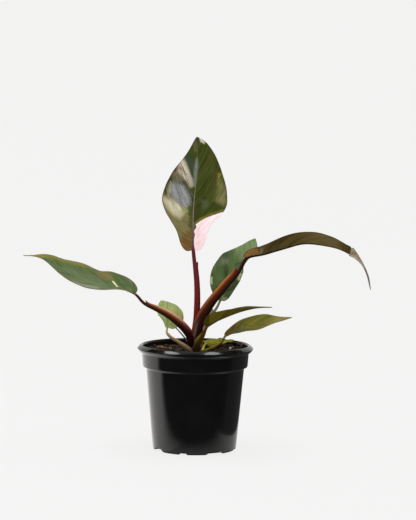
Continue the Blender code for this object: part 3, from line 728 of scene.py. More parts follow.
def stalk_material(name, look, seed):
    """Stalk skin: colour bands from the round back over the middle to the wing, striped lengthwise.
    The bands are partly the stalk's own reds and browns and partly painted shade and a painted
    highlight across the section, and the glints are painted highlights.

    Every row of `bands` has a height on the section, in radii, and its colours at foot and head.
    """
    gloss = look.get("roughness", 0.3)
    shader = Shader(name, roughness=gloss, specular_ior_level=look.get("specular", 0.5))
    out, height, run = shader.parts(shader.attribute("stalk", "Vector"))
    stripes = shader.noise(shader.vector(shader.times(out, 2.2), shader.times(height, 2.2),
                                         shader.math("MULTIPLY_ADD", run, 3.0, seed)), scale=2.0)
    blotch = shader.noise(shader.vector(out, height, shader.math("MULTIPLY_ADD", run, 9.0, seed)), scale=0.9)
    foot_to_head = shader.span(run, *look.get("fade", (0.1, 0.9)))
    lit = shader.around(stripes, 0.7, height)
    colour = below = None
    # bands across the section: own colour with painted shade on one side and a painted highlight on the other
    for level, at_foot, at_head in look["bands"]:
        band = shader.mix(foot_to_head, at_foot, at_head)
        if colour is not None:
            band = shader.mix(shader.span(lit, below, level, smooth=False), colour, band)
        colour, below = band, level
    # glints: painted highlights on the stalk
    for middle, spread, at, reach, glint in look.get("glints", ()):
        across = shader.span(shader.apart(height, middle), spread, 0.0)
        along = shader.span(shader.apart(run, at), reach, reach * 0.4)
        mask = shader.times(across, shader.times(along, shader.span(stripes, 0.3, 0.6)))
        colour = shader.mix(mask, colour, glint)
    rib_head = look.get("rib_head", look["rib"])
    colour = shader.over(colour, look["stripe_colour"], stripes, 0.52, 0.7, look.get("stripe", 0.2))
    colour = shader.over(colour, look["bands"][0][1], blotch, 0.5, 0.75, 0.3)
    colour = shader.over(colour, look["rib"], run, 0.98, 1.06)
    colour = shader.over(colour, rib_head, run, 1.08, 1.3)
    colour = shader.over(colour, look.get("rib_tip", rib_head), run, *look.get("tip_from", (1.8, 1.9)))
    spots = shader.noise(shader.place(), scale=1100.0, detail=2.0)
    spotted = shader.times(shader.span(spots, 0.55, 0.65), look.get("spots", 0.35))
    colour = shader.over(colour, look["bands"][1][2], run, 1.0, 1.05, spotted)
    shader.set("Base Color", colour)
    shader.set("Roughness", shader.math("MULTIPLY_ADD", stripes, 0.14, gloss - 0.05))
    shader.bump(stripes, 0.3, 0.0003)
    return shader.material


def make_dry_stalk():
    path = Path(DRY_STALK)
    shares = np.linspace(0, 1, 70)
    tangent, normal, right = frame_along(path, shares, np.array([[0, 0, 1.0]]))
    angles = np.arange(20) * math.tau / 20
    draw = random.Random(5)
    rings = []
    for i, share in enumerate(shares):
        radius = DRY_STALK_RADIUS * (1 - 0.25 * share) * (1 + draw.uniform(-0.06, 0.06))
        ridge = 1 + 0.08 * np.sin(5 * angles + 2 * share)
        rings.append(path.point(shares[i:i + 1]) + radius * (np.cos(angles) * ridge)[:, None] * right[i]
                     + radius * (np.sin(angles) * ridge)[:, None] * normal[i])
    mesh = tube("dry_stalk_look", rings)
    bm = bmesh.new()
    bm.from_mesh(mesh)
    bmesh.ops.recalc_face_normals(bm, faces=bm.faces)
    bm.to_mesh(mesh)
    bm.free()
    shader = Shader("dry_stalk_skin", roughness=0.55)
    grain = shader.noise(shader.place(), scale=900.0, detail=3.0)
    shader.set("Base Color", shader.over(srgb(44, 40, 34), srgb(96, 84, 66), grain, 0.4, 0.65))
    shader.bump(grain, 0.3, 0.0002)
    return dress(new_object("dry_stalk_look", mesh, [shader.material]), "green_stalk", "dry_stalk")


# Pot, soil and stem

def rounded(profile, reach):
    """A profile with its corners rounded, up to `reach` millimetres from each corner."""
    points = np.array(profile, float)
    result = [points[0]]
    for before, corner, after in zip(points, points[1:], points[2:]):
        to_before, to_after = before - corner, after - corner
        size = min(reach, 0.45 * np.linalg.norm(to_before), 0.45 * np.linalg.norm(to_after))
        first = corner + unit(to_before) * size
        last = corner + unit(to_after) * size
        for t in np.linspace(0, 1, 5):
            result.append((1 - t) ** 2 * first + 2 * t * (1 - t) * corner + t**2 * last)
    result.append(points[-1])
    return result


def turned_mesh(name, profile, steps):
    """A profile of (radius, height) points turned about Z, with its ends on the axis."""
    bm = bmesh.new()
    verts = [bm.verts.new((radius * MM, 0, height * MM)) for radius, height in profile]
    edges = [bm.edges.new(pair) for pair in zip(verts, verts[1:])]
    bmesh.ops.spin(bm, geom=verts + edges, axis=(0, 0, 1), cent=(0, 0, 0), angle=math.tau, steps=steps,
                   use_merge=True, use_duplicate=False)
    bmesh.ops.remove_doubles(bm, verts=bm.verts, dist=0.000005)
    bmesh.ops.recalc_face_normals(bm, faces=bm.faces)
    return mesh_of(name, bm)


def pot_side():
    return [(BAND_RADIUS, LIP_BOTTOM - 1.6), (54.5, STEP_TOP + 1.0), (54.3, STEP_TOP - 0.3),
            (53.9, STEP_TOP - 0.7), (51.4, STEP_BOTTOM + 1.0), (50.95, STEP_BOTTOM + 0.5),
            (50.75, STEP_BOTTOM - 0.4), (50.1, 77.0), (44.9, 17.6), (FOOT_RADIUS + 0.1, 1.4)]


def pot_profile():
    side = pot_side()
    inner = [(radius - POT_WALL, height) for radius, height in side]
    inner[-1] = (inner[-1][0], POT_FLOOR)
    skirt = LIP_RADIUS - LIP_THICKNESS
    lip = [(BAND_RADIUS - POT_WALL, LIP_TOP - 1.6), (BAND_RADIUS - 0.4, LIP_TOP - 0.3),
           (BAND_RADIUS + 0.7, LIP_TOP), (skirt - 0.6, LIP_TOP - 1.1), (LIP_RADIUS - 0.5, LIP_TOP - 3.0),
           (LIP_RADIUS, LIP_TOP - 3.8), (skirt + 0.4, LIP_BOTTOM + 1.0), (skirt - 0.2, LIP_BOTTOM + 0.3),
           (skirt - 1.3, LIP_BOTTOM - 0.6), (BAND_RADIUS + 0.3, LIP_BOTTOM - 1.2)]
    return [(0, POT_FLOOR), *reversed(inner), *lip, *side, (FOOT_RADIUS - 0.6, 0), (0, 0)]


def make_pot(material):
    mesh = turned_mesh("pot_look", rounded(pot_profile(), 0.7), POT_STEPS)
    pot = new_object("pot_look", mesh, [material])
    bm = bmesh.new()
    for index in range(8):
        width, height = (WIDE_NOTCH, NARROW_NOTCH)[index % 2]
        turn = Matrix.Rotation(math.radians(NOTCH_FIRST_ANGLE + 45 * index - 90), 4, "Z")
        arch = [(y * width, z * height) for y, z in NOTCH_ARCH]
        outline = [(arch[0][0] + 0.4, -1.0), *arch, *((-y, z) for y, z in reversed(arch[:-1])),
                   (-arch[0][0] - 0.4, -1.0)]
        ends = []
        for reach in (FOOT_RADIUS - 0.8 * NOTCH_DEPTH, FOOT_RADIUS + 0.2 * NOTCH_DEPTH):
            ends.append([bm.verts.new(turn @ (Vector((reach, y, z)) * MM)) for y, z in outline])
        bm.faces.new(reversed(ends[0]))
        bm.faces.new(ends[1])
        for i in range(len(outline)):
            j = (i + 1) % len(outline)
            bm.faces.new((ends[0][i], ends[0][j], ends[1][j], ends[1][i]))
    bmesh.ops.recalc_face_normals(bm, faces=bm.faces)
    cutter = new_object("notches", mesh_of("notches", bm))
    cut = pot.modifiers.new("Notches", "BOOLEAN")
    cut.operation = "DIFFERENCE"
    cut.object = cutter
    bpy.context.view_layer.update()
    final = bpy.data.meshes.new_from_object(pot.evaluated_get(bpy.context.evaluated_depsgraph_get()))
    pot.modifiers.clear()
    pot.data = final
    final.shade_smooth()
    final.set_sharp_from_angle(angle=math.radians(40))
    bpy.data.objects.remove(cutter)
    return dress(pot, "black_plastic", "pot")


def pot_material():
    """Injection-moulded black plastic: nearly even gloss, faint flow lines, fine scuffs and dust."""
    shader = Shader("black_pot_plastic", roughness=0.14, specular_ior_level=0.5)
    place = shader.place()
    x, y, z = shader.parts(place)
    cloud = shader.noise(place, scale=38.0, detail=3.0)
    scuff = shader.noise(shader.vector(shader.times(x, 60.0), shader.times(y, 60.0), shader.times(z, 900.0)),
                         detail=4.0)
    dust = shader.times(shader.span(shader.noise(place, scale=420.0, detail=4.0), 0.62, 0.8),
                        shader.span(z, 0.085, 0.108))
    colour = shader.over(srgb(15, 15, 15), srgb(18, 18, 18), cloud, 0.35, 0.65)
    shader.set("Base Color", shader.mix(shader.times(dust, 0.12), colour, srgb(96, 86, 74)))
    scuffed = shader.math("MULTIPLY_ADD", shader.span(scuff, 0.55, 0.75), 0.05, 0.09)
    shader.set("Roughness", shader.math("MULTIPLY_ADD", cloud, 0.06, scuffed))
    ripple = shader.noise(place, scale=160.0, detail=2.0)
    shader.bump(shader.math("MULTIPLY_ADD", scuff, 0.3, ripple), 0.05, 0.0004)
    return shader.material


def soil_height(x, y):
    """Height of the soil in millimetres: a dip round the stem, low swells and crumbs."""
    radius = math.hypot(x, y)
    angle = math.atan2(y, x)
    dip = SOIL_DIP * math.exp(-(radius / SOIL_DIP_REACH) ** 2)
    swell = 0.5 * math.sin(2 * angle + 0.6) + 0.4 * math.sin(3 * angle + radius / 9)
    lumps = noise.noise((x / 5.5, y / 5.5, 3.1)) * 1.1 + noise.noise((x / 2.1, y / 2.1, 7.7)) * 0.75
    lumps += noise.noise((x / 0.9, y / 0.9, 1.3)) * 0.35
    return SOIL_LEVEL - dip + swell * min(1.0, radius / 40) + lumps


def make_soil(material):
    wall = [(radius - POT_WALL - 0.3, height) for radius, height in pot_side()][1:]
    wall[-1] = (wall[-1][0], POT_FLOOR + 0.3)
    hole = STEM_RADIUS + 0.15
    edge = BAND_RADIUS - POT_WALL - 0.45
    angles = np.arange(SOIL_STEPS) * math.tau / SOIL_STEPS
    surface = [(radius, None) for radius in np.linspace(hole, edge, 86)]
    rings = []
    for radius, height in [(AXIS_RADIUS, STEM_FOOT), (hole, STEM_FOOT), *surface, *wall,
                           (AXIS_RADIUS, POT_FLOOR + 0.3)]:
        ring = [(radius * math.cos(a), radius * math.sin(a)) for a in angles]
        rings.append([(x, y, soil_height(x, y) if height is None else height) for x, y in ring])
    mesh = tube("soil_look", rings, turned=True)
    return dress(new_object("soil_look", mesh, [material]), "potting_mix", "soil")


def soil_material():
    """Moist potting mix: near-black peat with brown and tan fibres."""
    shader = Shader("moist_potting_mix", roughness=0.9, specular_ior_level=0.25)
    place = shader.place()
    coarse = shader.noise(place, scale=300.0, detail=5.0, roughness=0.65)
    fine = shader.noise(place, scale=1100.0, detail=4.0, roughness=0.7)
    colour = shader.over(srgb(18, 17, 13), srgb(62, 53, 39), coarse, 0.35, 0.68)
    colour = shader.over(colour, srgb(104, 88, 62), fine, 0.6, 0.75, 0.6)
    shader.set("Base Color", colour)
    shader.bump(fine, 0.6, 0.0006)
    return shader.material


def lump(bm, place, size, turn, draw, detail, boxy):
    """Adds one crumb or chip to the mesh: a ragged ball, or a ragged block."""
    matrix = Matrix.Translation(Vector(place) * MM) @ Euler(turn).to_matrix().to_4x4() @ Matrix.Diagonal(
        (*(Vector(size) * MM), 1))
    if boxy:
        made = bmesh.ops.create_cube(bm, size=1.0)["verts"]
        edges = list({edge for vert in made for edge in vert.link_edges})
        made = bmesh.ops.subdivide_edges(bm, edges=edges, cuts=2, use_grid_fill=True)["geom_inner"]
        inner = {item for item in made if isinstance(item, bmesh.types.BMVert)}
        verts = list({vert for edge in edges for vert in edge.verts} | inner)
        faces = {face for vert in verts for face in vert.link_faces}
        verts = list({vert for face in faces for vert in face.verts})
        ragged = 0.09
    else:
        verts = bmesh.ops.create_icosphere(bm, subdivisions=detail, radius=0.5)["verts"]
        ragged = 0.13
    for vert in verts:
        vert.co = matrix @ (vert.co + Vector((draw.uniform(-ragged, ragged) for _ in range(3))))
    return verts


def make_crumbs(material):
    """Loose crumbs, bark chips, a few pale bits and a twig on the soil, each with its own tint."""
    draw = random.Random(CRUMB_SEED)
    bm = bmesh.new()
    tint_layer = bm.verts.layers.float.new("tint")

    def add(x, y, size, tint, boxy=False, sink=0.25, turn=None):
        if turn is None:
            turn = (draw.uniform(-0.4, 0.4), draw.uniform(-0.4, 0.4), draw.uniform(0, math.tau))
        z = soil_height(x, y) + size[2] * (0.5 - sink)
        for vert in lump(bm, (x, y, z), size, turn, draw, 1 if size[0] < 2.4 else 2, boxy):
            vert[tint_layer] = tint

    for _ in range(CRUMB_COUNT):
        radius = math.sqrt(draw.uniform(9.5**2, 52.0**2))
        angle = draw.uniform(0, math.tau)
        size = draw.uniform(0.7, 2.6)
        tint = min(0.78, abs(draw.gauss(0.12, 0.2)))
        add(radius * math.cos(angle), radius * math.sin(angle),
            (size * draw.uniform(0.8, 1.5), size, size * draw.uniform(0.6, 0.9)), tint)
    for _ in range(CHIP_COUNT):
        radius = math.sqrt(draw.uniform(15.0**2, 50.0**2))
        angle = draw.uniform(0, math.tau)
        add(radius * math.cos(angle), radius * math.sin(angle),
            (draw.uniform(3.0, 7.0), draw.uniform(1.4, 3.2), draw.uniform(0.8, 1.7)),
            draw.choice((0.3, 0.38, 0.45, 0.55, 0.65)), boxy=True)
    for x, y, size, tint, turn in BITS:
        add(x, y, size, tint, boxy=size[0] > 3.5, sink=0.12, turn=(0.1, -0.12, math.radians(turn)))
    return dress(new_object("soil_crumbs", mesh_of("soil_crumbs", bm), [material]), "potting_mix")


def crumb_material():
    """Crumbs and chips, from black peat over brown bark to pale wood and white grit."""
    shader = Shader("bark_and_crumbs", roughness=0.85, specular_ior_level=0.25)
    tint = shader.attribute("tint")
    place = shader.place()
    grain = shader.noise(place, scale=900.0, detail=4.0)
    value = shader.around(grain, 0.16, tint)
    colour = shader.over(srgb(15, 12, 10), srgb(44, 32, 23), value, 0.0, 0.3)
    colour = shader.over(colour, srgb(92, 66, 44), value, 0.3, 0.55)
    colour = shader.over(colour, srgb(150, 112, 72), value, 0.55, 0.75)
    colour = shader.over(colour, srgb(206, 196, 120), value, 0.78, 0.9)
    colour = shader.over(colour, srgb(228, 220, 205), value, 0.92, 1.05)
    shader.set("Base Color", colour)
    shader.bump(grain, 0.5, 0.0004)
    return shader.material


def make_stem(material):
    draw = random.Random(9)
    profile = [(AXIS_RADIUS, STEM_TOP - 0.3)]
    for height in np.linspace(STEM_TOP - 0.6, STEM_FOOT, 60):
        dome = math.sqrt(max(0.02, 1 - max(0.0, (height - (STEM_TOP - 5.5)) / 5.6) ** 2))
        ring = 0.35 * math.exp(-(((height % 4.6) - 2.3) / 0.5) ** 2)
        profile.append((max(0.1, (STEM_RADIUS - 0.25) * dome + ring - 0.15), height))
    profile.append((AXIS_RADIUS, STEM_FOOT))
    mesh = turned_mesh("stem_look", profile, 64)
    for vert in mesh.vertices:
        vert.co.x += noise.noise(vert.co * 320) * 0.0003
        vert.co.y += noise.noise(vert.co * 260 + Vector((5, 0, 0))) * 0.0003
    return dress(new_object("stem_look", mesh, [material]), "stem_skin", "stem")


def stem_material():
    shader = Shader("stem_bark", roughness=0.55)
    place = shader.place()
    x, y, z = shader.parts(place)
    place = shader.vector(shader.times(x, 120.0), shader.times(y, 120.0), shader.times(z, 700.0))
    bands = shader.noise(place, detail=4.0)
    colour = shader.over(srgb(34, 20, 16), srgb(84, 48, 34), bands, 0.35, 0.65)
    colour = shader.over(colour, srgb(120, 104, 60), bands, 0.66, 0.8)
    shader.set("Base Color", colour)
    shader.bump(bands, 0.5, 0.0005)
    return shader.material


# Looks
# Bits on the soil that show: x, y, size, tint and turn
BITS = [
    (-26.6, 11.5, (6.6, 1.9, 1.5), 0.86, -62), (-34.6, 15.0, (2.8, 2.0, 1.6), 0.8, 20),
    (-2.4, 7.5, (3.0, 2.0, 4.8), 0.85, 10), (36.4, 8.5, (2.6, 2.6, 2.6), 1.05, 15),
    (38.9, 15.5, (3.0, 2.6, 2.6), 0.7, 35), (-39.5, 12.5, (3.4, 2.6, 1.8), 0.62, 50),
    (22.0, 20.0, (3.6, 2.2, 1.6), 0.5, 70), (46.0, 25.0, (4.2, 3.0, 4.0), 0.4, 15),
    (48.5, 20.0, (3.6, 2.6, 4.4), 0.5, 60), (-43.0, 28.0, (3.4, 2.4, 2.2), 0.5, 30),
    (-15.5, 10.0, (3.0, 2.0, 1.4), 0.62, 5), (44.0, -8.0, (3.6, 1.8, 1.4), 0.6, 8),
]

# Outline of the pink part of the upright leaf, in millimetres across and along it
PINK = [(40, 47), (31.2, 40.8), (22.7, 37.7), (15.7, 34.8), (8.9, 31.3), (2.7, 26.8), (3.8, 24.4), (1.1, 19.9),
        (2.4, 16.6), (1.1, 11.4), (1.2, -6), (40, -8)]

LOOKS = {
    "upright": dict(
        upper=dict(
            dark=srgb(46, 54, 6), light=srgb(64, 74, 16), tint=srgb(60, 64, 26), rib=srgb(112, 104, 92),
            rim=srgb(74, 46, 28), roughness=0.36, rib_reach=0.8, specular=0.1, vein=0.25,
            vein_colour=srgb(78, 84, 34), streak=0.4, streak_colour=srgb(78, 82, 42), fleck=0.3,
            fleck_colour=srgb(104, 108, 74),
            patches=[
                dict(shape=[(-38, 60), (-27, 52), (-12, 46), (-3, 36), (-1, 12), (-1, -4), (-30, -4)],
                     colour=srgb(134, 126, 84), other=srgb(106, 98, 54), soft=3.0, jag=4),
                dict(shape=[(-14, -4), (-14, 8), (-9, 18), (-2, 20), (-1, -4)], colour=srgb(128, 96, 52),
                     other=srgb(104, 76, 34), soft=4.0, jag=3),
                dict(shape=[(-36, 52), (-25, 51), (-14.5, 48), (-8, 45), (-9.5, 38), (-13.6, 33), (-21, 36.5),
                            (-26.5, 42), (-31, 48)],
                     colour=srgb(222, 212, 186), other=srgb(172, 162, 122), soft=3.2, jag=4, strength=0.95),
                dict(shape=[(-11.8, 40.1), (-7.7, 40.3)], radius=2.4, colour=srgb(172, 174, 120),
                     other=srgb(140, 142, 80), soft=1.4, jag=4, strength=0.8),
                dict(shape=[(-3.6, 49), (-3.2, 25)], radius=1.2, colour=srgb(90, 92, 46),
                     other=srgb(66, 70, 28), soft=1.4, jag=1.6, strength=0.85),
                dict(shape=[(-26, 79), (-17, 78), (-12, 73), (-13, 68), (-24, 68)], colour=srgb(128, 116, 96),
                     other=srgb(92, 88, 66), soft=2.6, jag=4, strength=0.85),
                # painted sheen: a grey reflection on the left half of the blade
                dict(shape=[(-25.7, 68), (-19.6, 67.5), (-12.2, 66.5), (-8.4, 61.4), (-3.6, 54.8), (-3.8, 47.7),
                            (-7.7, 43.4), (-14.2, 46), (-21.8, 51), (-25.8, 58.3)],
                     colour=srgb(172, 171, 172), other=srgb(112, 112, 112), soft=3.4, jag=3, mottle=0.6,
                     strength=0.93),
                dict(shape=[(-26, 68), (-26.2, 60), (-28.6, 51)], radius=1.5, colour=srgb(208, 188, 170),
                     other=srgb(140, 122, 98), soft=1.6, jag=5, strength=0.7),
                dict(shape=[(-14.7, 95.1), (-11.6, 90), (-7.6, 81.6), (-4, 73.5), (-2, 66), (-5.2, 64.6),
                            (-9.5, 70.8), (-15.4, 74.8), (-20.6, 80), (-19.6, 90)],
                     colour=srgb(220, 210, 192), other=srgb(136, 122, 96), soft=2.2, jag=3.4, mottle=0.5),
                dict(shape=[(-21.5, 82), (-15, 84), (-10.5, 77)], radius=0.9, colour=srgb(112, 92, 66),
                     other=srgb(84, 76, 46), soft=1.2, jag=3, strength=0.75),
                dict(shape=[(-20, 88), (-17.5, 83), (-21, 78)], radius=1.6, colour=srgb(172, 146, 124),
                     other=srgb(128, 100, 78), soft=1.6, jag=4, strength=0.7),
                dict(shape=[(-12.5, 101), (-4.6, 98.5), (-3.4, 74), (-5.6, 78), (-9.3, 89)],
                     colour=srgb(46, 56, 34), other=srgb(60, 72, 52), soft=1.6, jag=2),
                dict(shape=[(-2.6, 113), (-1.8, 104)], radius=1.4, colour=srgb(126, 108, 86),
                     other=srgb(92, 80, 50), soft=1.6, jag=2, strength=0.75),
                # painted sheen: a pale grey-blue reflection along the midrib towards the tip
                dict(shape=[(-0.6, 96), (0.5, 93), (1.2, 86.6), (0.5, 78.3), (0, 68), (-1.4, 67), (-2.6, 75),
                            (-3, 85), (-2, 93)],
                     colour=srgb(134, 140, 134), other=srgb(98, 108, 94), soft=1.7, jag=1.2, sway=0.5,
                     mottle=0.5, strength=0.95),
                dict(shape=[(23.2, 80), (23.2, 70)], radius=1.7, colour=srgb(150, 136, 60),
                     other=srgb(106, 100, 38), soft=1.4, jag=4),
                dict(shape=[(26, 74), (34, 68), (36, 52), (32, 46.5), (26.4, 49), (20.6, 54), (22.6, 66)],
                     colour=srgb(136, 130, 84), other=srgb(90, 90, 44), soft=3.0, jag=6, strength=0.85),
                dict(shape=[(6.1, 53.6), (14.4, 54.3), (16.2, 44.6), (8.9, 42.2)], colour=srgb(116, 124, 102),
                     other=srgb(52, 62, 26), soft=2.4, jag=8, strength=0.45),
                dict(shape=[(14.1, 98.6), (19.3, 79.2), (19.3, 58.1)], radius=3.2, colour=srgb(82, 74, 34),
                     other=srgb(64, 66, 22), soft=3.0, jag=6, strength=0.6),
                dict(shape=[(12, 58), (13, 74), (17, 84)], radius=1.0, colour=srgb(104, 106, 56),
                     other=srgb(70, 76, 28), soft=2.0, jag=7, strength=0.5),
                dict(shape=[(32, 42.8), (22, 39.2), (15, 36.2), (8.5, 32.7), (2.4, 28)], radius=1.3,
                     colour=srgb(132, 120, 40), other=srgb(92, 90, 28), soft=0.9, jag=3),
                dict(shape=[(0.6, 25), (0.8, 12)], radius=1.3, colour=srgb(104, 98, 34), soft=0.6, jag=0.8),
                dict(shape=PINK, colour=srgb(255, 244, 245), other=srgb(252, 216, 219), soft=0.35, jag=0.5,
                     sway=0.3, over=True),
                dict(shape=[(5, 6), (6.5, 22)], radius=1.2, colour=srgb(248, 192, 198), soft=1.5, jag=4,
                     strength=0.5, over=True),
                dict(shape=[(1.6, 119), (8.6, 112.6), (7.2, 110.6), (4, 113)], colour=srgb(216, 204, 188),
                     soft=1.4, jag=1.8, strength=0.9, over=True),
            ]),
        under=dict(
            dark=srgb(62, 40, 28), light=srgb(92, 58, 38), tint=srgb(72, 62, 38), rib=srgb(110, 40, 36),
            rim=srgb(66, 34, 24), roughness=0.4,
            patches=[
                dict(shape=PINK, colour=srgb(240, 196, 192), other=srgb(232, 180, 176), soft=0.35, jag=0.5,
                     sway=0.3, over=True),
                dict(shape=[(-17, 93), (-12, 90), (-6, 79), (-2.5, 70), (-8, 70), (-20, 79), (-30, 92)],
                     colour=srgb(178, 150, 128), other=srgb(150, 120, 96), soft=2.0, jag=4),
            ])),
    "right": dict(
        upper=dict(
            dark=srgb(48, 56, 24), light=srgb(72, 80, 38), tint=srgb(88, 80, 50), rib=srgb(112, 104, 92),
            rim=srgb(74, 48, 34), roughness=0.4, rib_reach=0.6, rim_reach=0.7, rim_strength=0.6,
            patches=[
                # painted sheen: the far half of the blade towards the tip is paler
                dict(shape=[(-14, 96), (14, 96), (5, 165), (-5, 165)], colour=srgb(162, 142, 112),
                     other=srgb(126, 108, 76), soft=5, jag=2),
                dict(shape=[(0.5, 110), (0.5, 128)], radius=0.9, colour=srgb(214, 200, 176), soft=1, jag=1,
                     strength=0.8),
                dict(shape=[(-20, 60), (-12, 40), (-6, 30)], radius=1.2, colour=srgb(176, 148, 120), soft=1.4, jag=4,
                     strength=0.6),
                dict(shape=[(-4, 132), (4, 132), (4, 166), (-4, 166)], colour=srgb(158, 140, 136),
                     other=srgb(128, 110, 106), soft=3, jag=2),
            ]),
        under=dict(
            dark=srgb(64, 49, 8), light=srgb(90, 74, 26), tint=srgb(82, 66, 22), rib=srgb(48, 32, 18),
            rim=srgb(66, 36, 22), roughness=0.5, specular=0.1, rib_reach=0.7, rim_reach=1.1, vein=0.12,
            streak=0.5, streak_colour=srgb(98, 88, 50), fleck=0.35, fleck_colour=srgb(112, 100, 62),
            patches=[
                dict(shape=[(-1, -5), (18, -5), (18, 8), (14.5, 13.5), (4, 13.5), (-1, 13)],
                     colour=srgb(160, 122, 66), other=srgb(126, 88, 38), soft=1.5, jag=2),
                dict(shape=[(-2, 60), (14, 62), (30, 70), (30, 100), (-2, 100)], colour=srgb(118, 102, 58),
                     other=srgb(90, 74, 28), soft=10, jag=6, strength=0.85),
                dict(shape=[(12, 93), (0, 101), (0, 110), (12, 110)], colour=srgb(62, 48, 10),
                     other=srgb(76, 62, 18), soft=3, jag=2, strength=0.8),
                dict(shape=[(13, 17.5), (3, 16)], radius=1.6, colour=srgb(124, 118, 88), soft=1.2, jag=2,
                     strength=0.7),
            ])),
    "left": dict(
        upper=dict(
            dark=srgb(62, 84, 30), light=srgb(90, 110, 48), tint=srgb(94, 96, 50), rib=srgb(112, 116, 74),
            rim=srgb(92, 70, 36), roughness=0.38, specular=0.2, rib_reach=0.8, streak=0.6,
            streak_colour=srgb(122, 132, 92),
            fleck=0.35, fleck_colour=srgb(122, 128, 90),
            patches=[
                dict(shape=[(30, 44), (24, 50), (17, 66), (11, 84), (2, 98), (-4, 104), (-8, 130), (6, 130),
                            (20, 100), (30, 70)],
                     colour=srgb(144, 130, 50), other=srgb(112, 110, 42), soft=3.5, jag=4),
                dict(shape=[(0, 20), (10, 40), (6, 80), (-4, 80), (-10, 40)], colour=srgb(118, 132, 102),
                     other=srgb(80, 102, 56), soft=5, jag=8, strength=0.6),
                dict(shape=[(19, 20), (16, 9), (8, 4), (3, 12), (10, 18)], colour=srgb(58, 80, 32),
                     other=srgb(74, 94, 44), soft=4, jag=3, strength=0.7),
                dict(shape=[(26, 46), (24, 30), (18, 26), (9, 25), (9, 33), (18, 44)], colour=srgb(134, 112, 62),
                     other=srgb(104, 96, 50), soft=2.5, jag=4, strength=0.8),
                dict(shape=[(-23, 64), (-22, 52.6), (-22, 42)], radius=4.0, colour=srgb(136, 142, 122),
                     other=srgb(110, 120, 90), soft=2.5, jag=4),
                dict(shape=[(-22, 32), (-20, 18), (-10, 6), (-3, 2)], radius=1.9, colour=srgb(146, 122, 94),
                     other=srgb(116, 82, 58), soft=1.2, jag=3, strength=0.85),
                dict(shape=[(7.4, 25.2), (3, 22.6), (0.2, 20.3)], radius=0.85, colour=srgb(236, 220, 174),
                     soft=0.5, jag=0.6, over=True),
            ]),
        under=dict(
            dark=srgb(84, 60, 34), light=srgb(120, 92, 56), tint=srgb(100, 92, 52), rib=srgb(64, 34, 24),
            rim=srgb(92, 58, 38), roughness=0.42)),
    "back": dict(
        upper=dict(
            dark=srgb(44, 66, 26), light=srgb(80, 106, 52), tint=srgb(96, 118, 68), rib=srgb(110, 126, 84),
            rim=srgb(84, 84, 50), roughness=0.36, specular=0.25, rib_reach=0.8, rim_reach=0.8, streak=0.5,
            streak_colour=srgb(104, 122, 84), fleck=0.4, fleck_colour=srgb(128, 140, 108),
            patches=[
                dict(shape=[(-14, 50), (14, 50), (12, 95), (-12, 95)], colour=srgb(140, 156, 104),
                     other=srgb(106, 132, 76), soft=7, jag=6, strength=0.9),
                dict(shape=[(-16, 36), (-14, 48), (-8, 52), (-6, 40), (-12, 30)], colour=srgb(92, 104, 84),
                     other=srgb(52, 66, 36), soft=3, jag=8, strength=0.7),
                dict(shape=[(-13, 10.9), (-5.9, 12.2), (-7.3, 17), (-14, 18)], colour=srgb(106, 118, 72),
                     other=srgb(80, 100, 52), soft=4, jag=5, strength=0.7),
                dict(shape=[(7, 24.8), (14, 27.5), (13, 16.9), (8.1, 14.9)], colour=srgb(42, 58, 22),
                     other=srgb(54, 72, 32), soft=3, jag=4, strength=0.9),
                dict(shape=[(10.8, 38), (13, 28)], radius=1.4, colour=srgb(196, 196, 158),
                     other=srgb(150, 158, 114), soft=1.2, jag=3),
                dict(shape=[(-14.3, 39), (-7.2, 43.1), (-5.3, 38.4), (-11.8, 35.1)], colour=srgb(166, 156, 136),
                     other=srgb(88, 106, 66), soft=2.5, jag=7, strength=0.8),
                dict(shape=[(-15.4, 20), (-14.4, 15)], radius=1.3, colour=srgb(200, 200, 164), soft=1, jag=2),
                dict(shape=[(-0.2, 4.1), (5, 2.2)], radius=2.5, colour=srgb(130, 140, 96), soft=2, jag=2),
            ]),
        under=dict(
            dark=srgb(74, 84, 46), light=srgb(112, 116, 70), tint=srgb(120, 104, 72), rib=srgb(120, 96, 70),
            rim=srgb(84, 84, 50), roughness=0.42)),
    "upper_low": dict(
        upper=dict(
            dark=srgb(62, 56, 6), light=srgb(96, 90, 24), tint=srgb(106, 100, 38), rib=srgb(118, 110, 50),
            rim=srgb(84, 62, 22), roughness=0.38, rib_reach=0.6, specular=0.2),
        under=dict(
            dark=srgb(66, 56, 3), light=srgb(102, 92, 24), tint=srgb(108, 96, 32), rib=srgb(76, 64, 14),
            rim=srgb(80, 58, 14), roughness=0.5, rib_reach=0.8, specular=0.1, streak=0.5,
            streak_colour=srgb(130, 118, 46))),
    "lower_low": dict(
        upper=dict(
            dark=srgb(92, 94, 10), light=srgb(130, 132, 38), tint=srgb(138, 124, 40), rib=srgb(146, 140, 60),
            rim=srgb(120, 92, 30), roughness=0.42, rib_reach=0.5, specular=0.12,
            patches=[
                dict(shape=[(-20, -4), (-20, 20), (20, 16), (20, -4)], colour=srgb(100, 80, 0),
                     other=srgb(80, 64, 0), soft=8, jag=5),
                dict(shape=[(-8, 56), (12, 50), (10, 76), (-6, 76)], colour=srgb(176, 158, 82),
                     other=srgb(152, 132, 58), soft=7, jag=5, strength=0.85),
            ]),
        under=dict(
            dark=srgb(92, 82, 24), light=srgb(120, 110, 46), tint=srgb(116, 94, 40), rib=srgb(104, 86, 34),
            rim=srgb(104, 78, 26), roughness=0.5, specular=0.2)),
    "pale": dict(
        upper=dict(
            dark=srgb(96, 120, 62), light=srgb(124, 146, 84), tint=srgb(132, 150, 90), rib=srgb(150, 160, 104),
            rim=srgb(120, 130, 70), roughness=0.38, rib_reach=0.6),
        under=dict(
            dark=srgb(138, 154, 88), light=srgb(172, 184, 114), tint=srgb(176, 178, 106), rib=srgb(146, 160, 92),
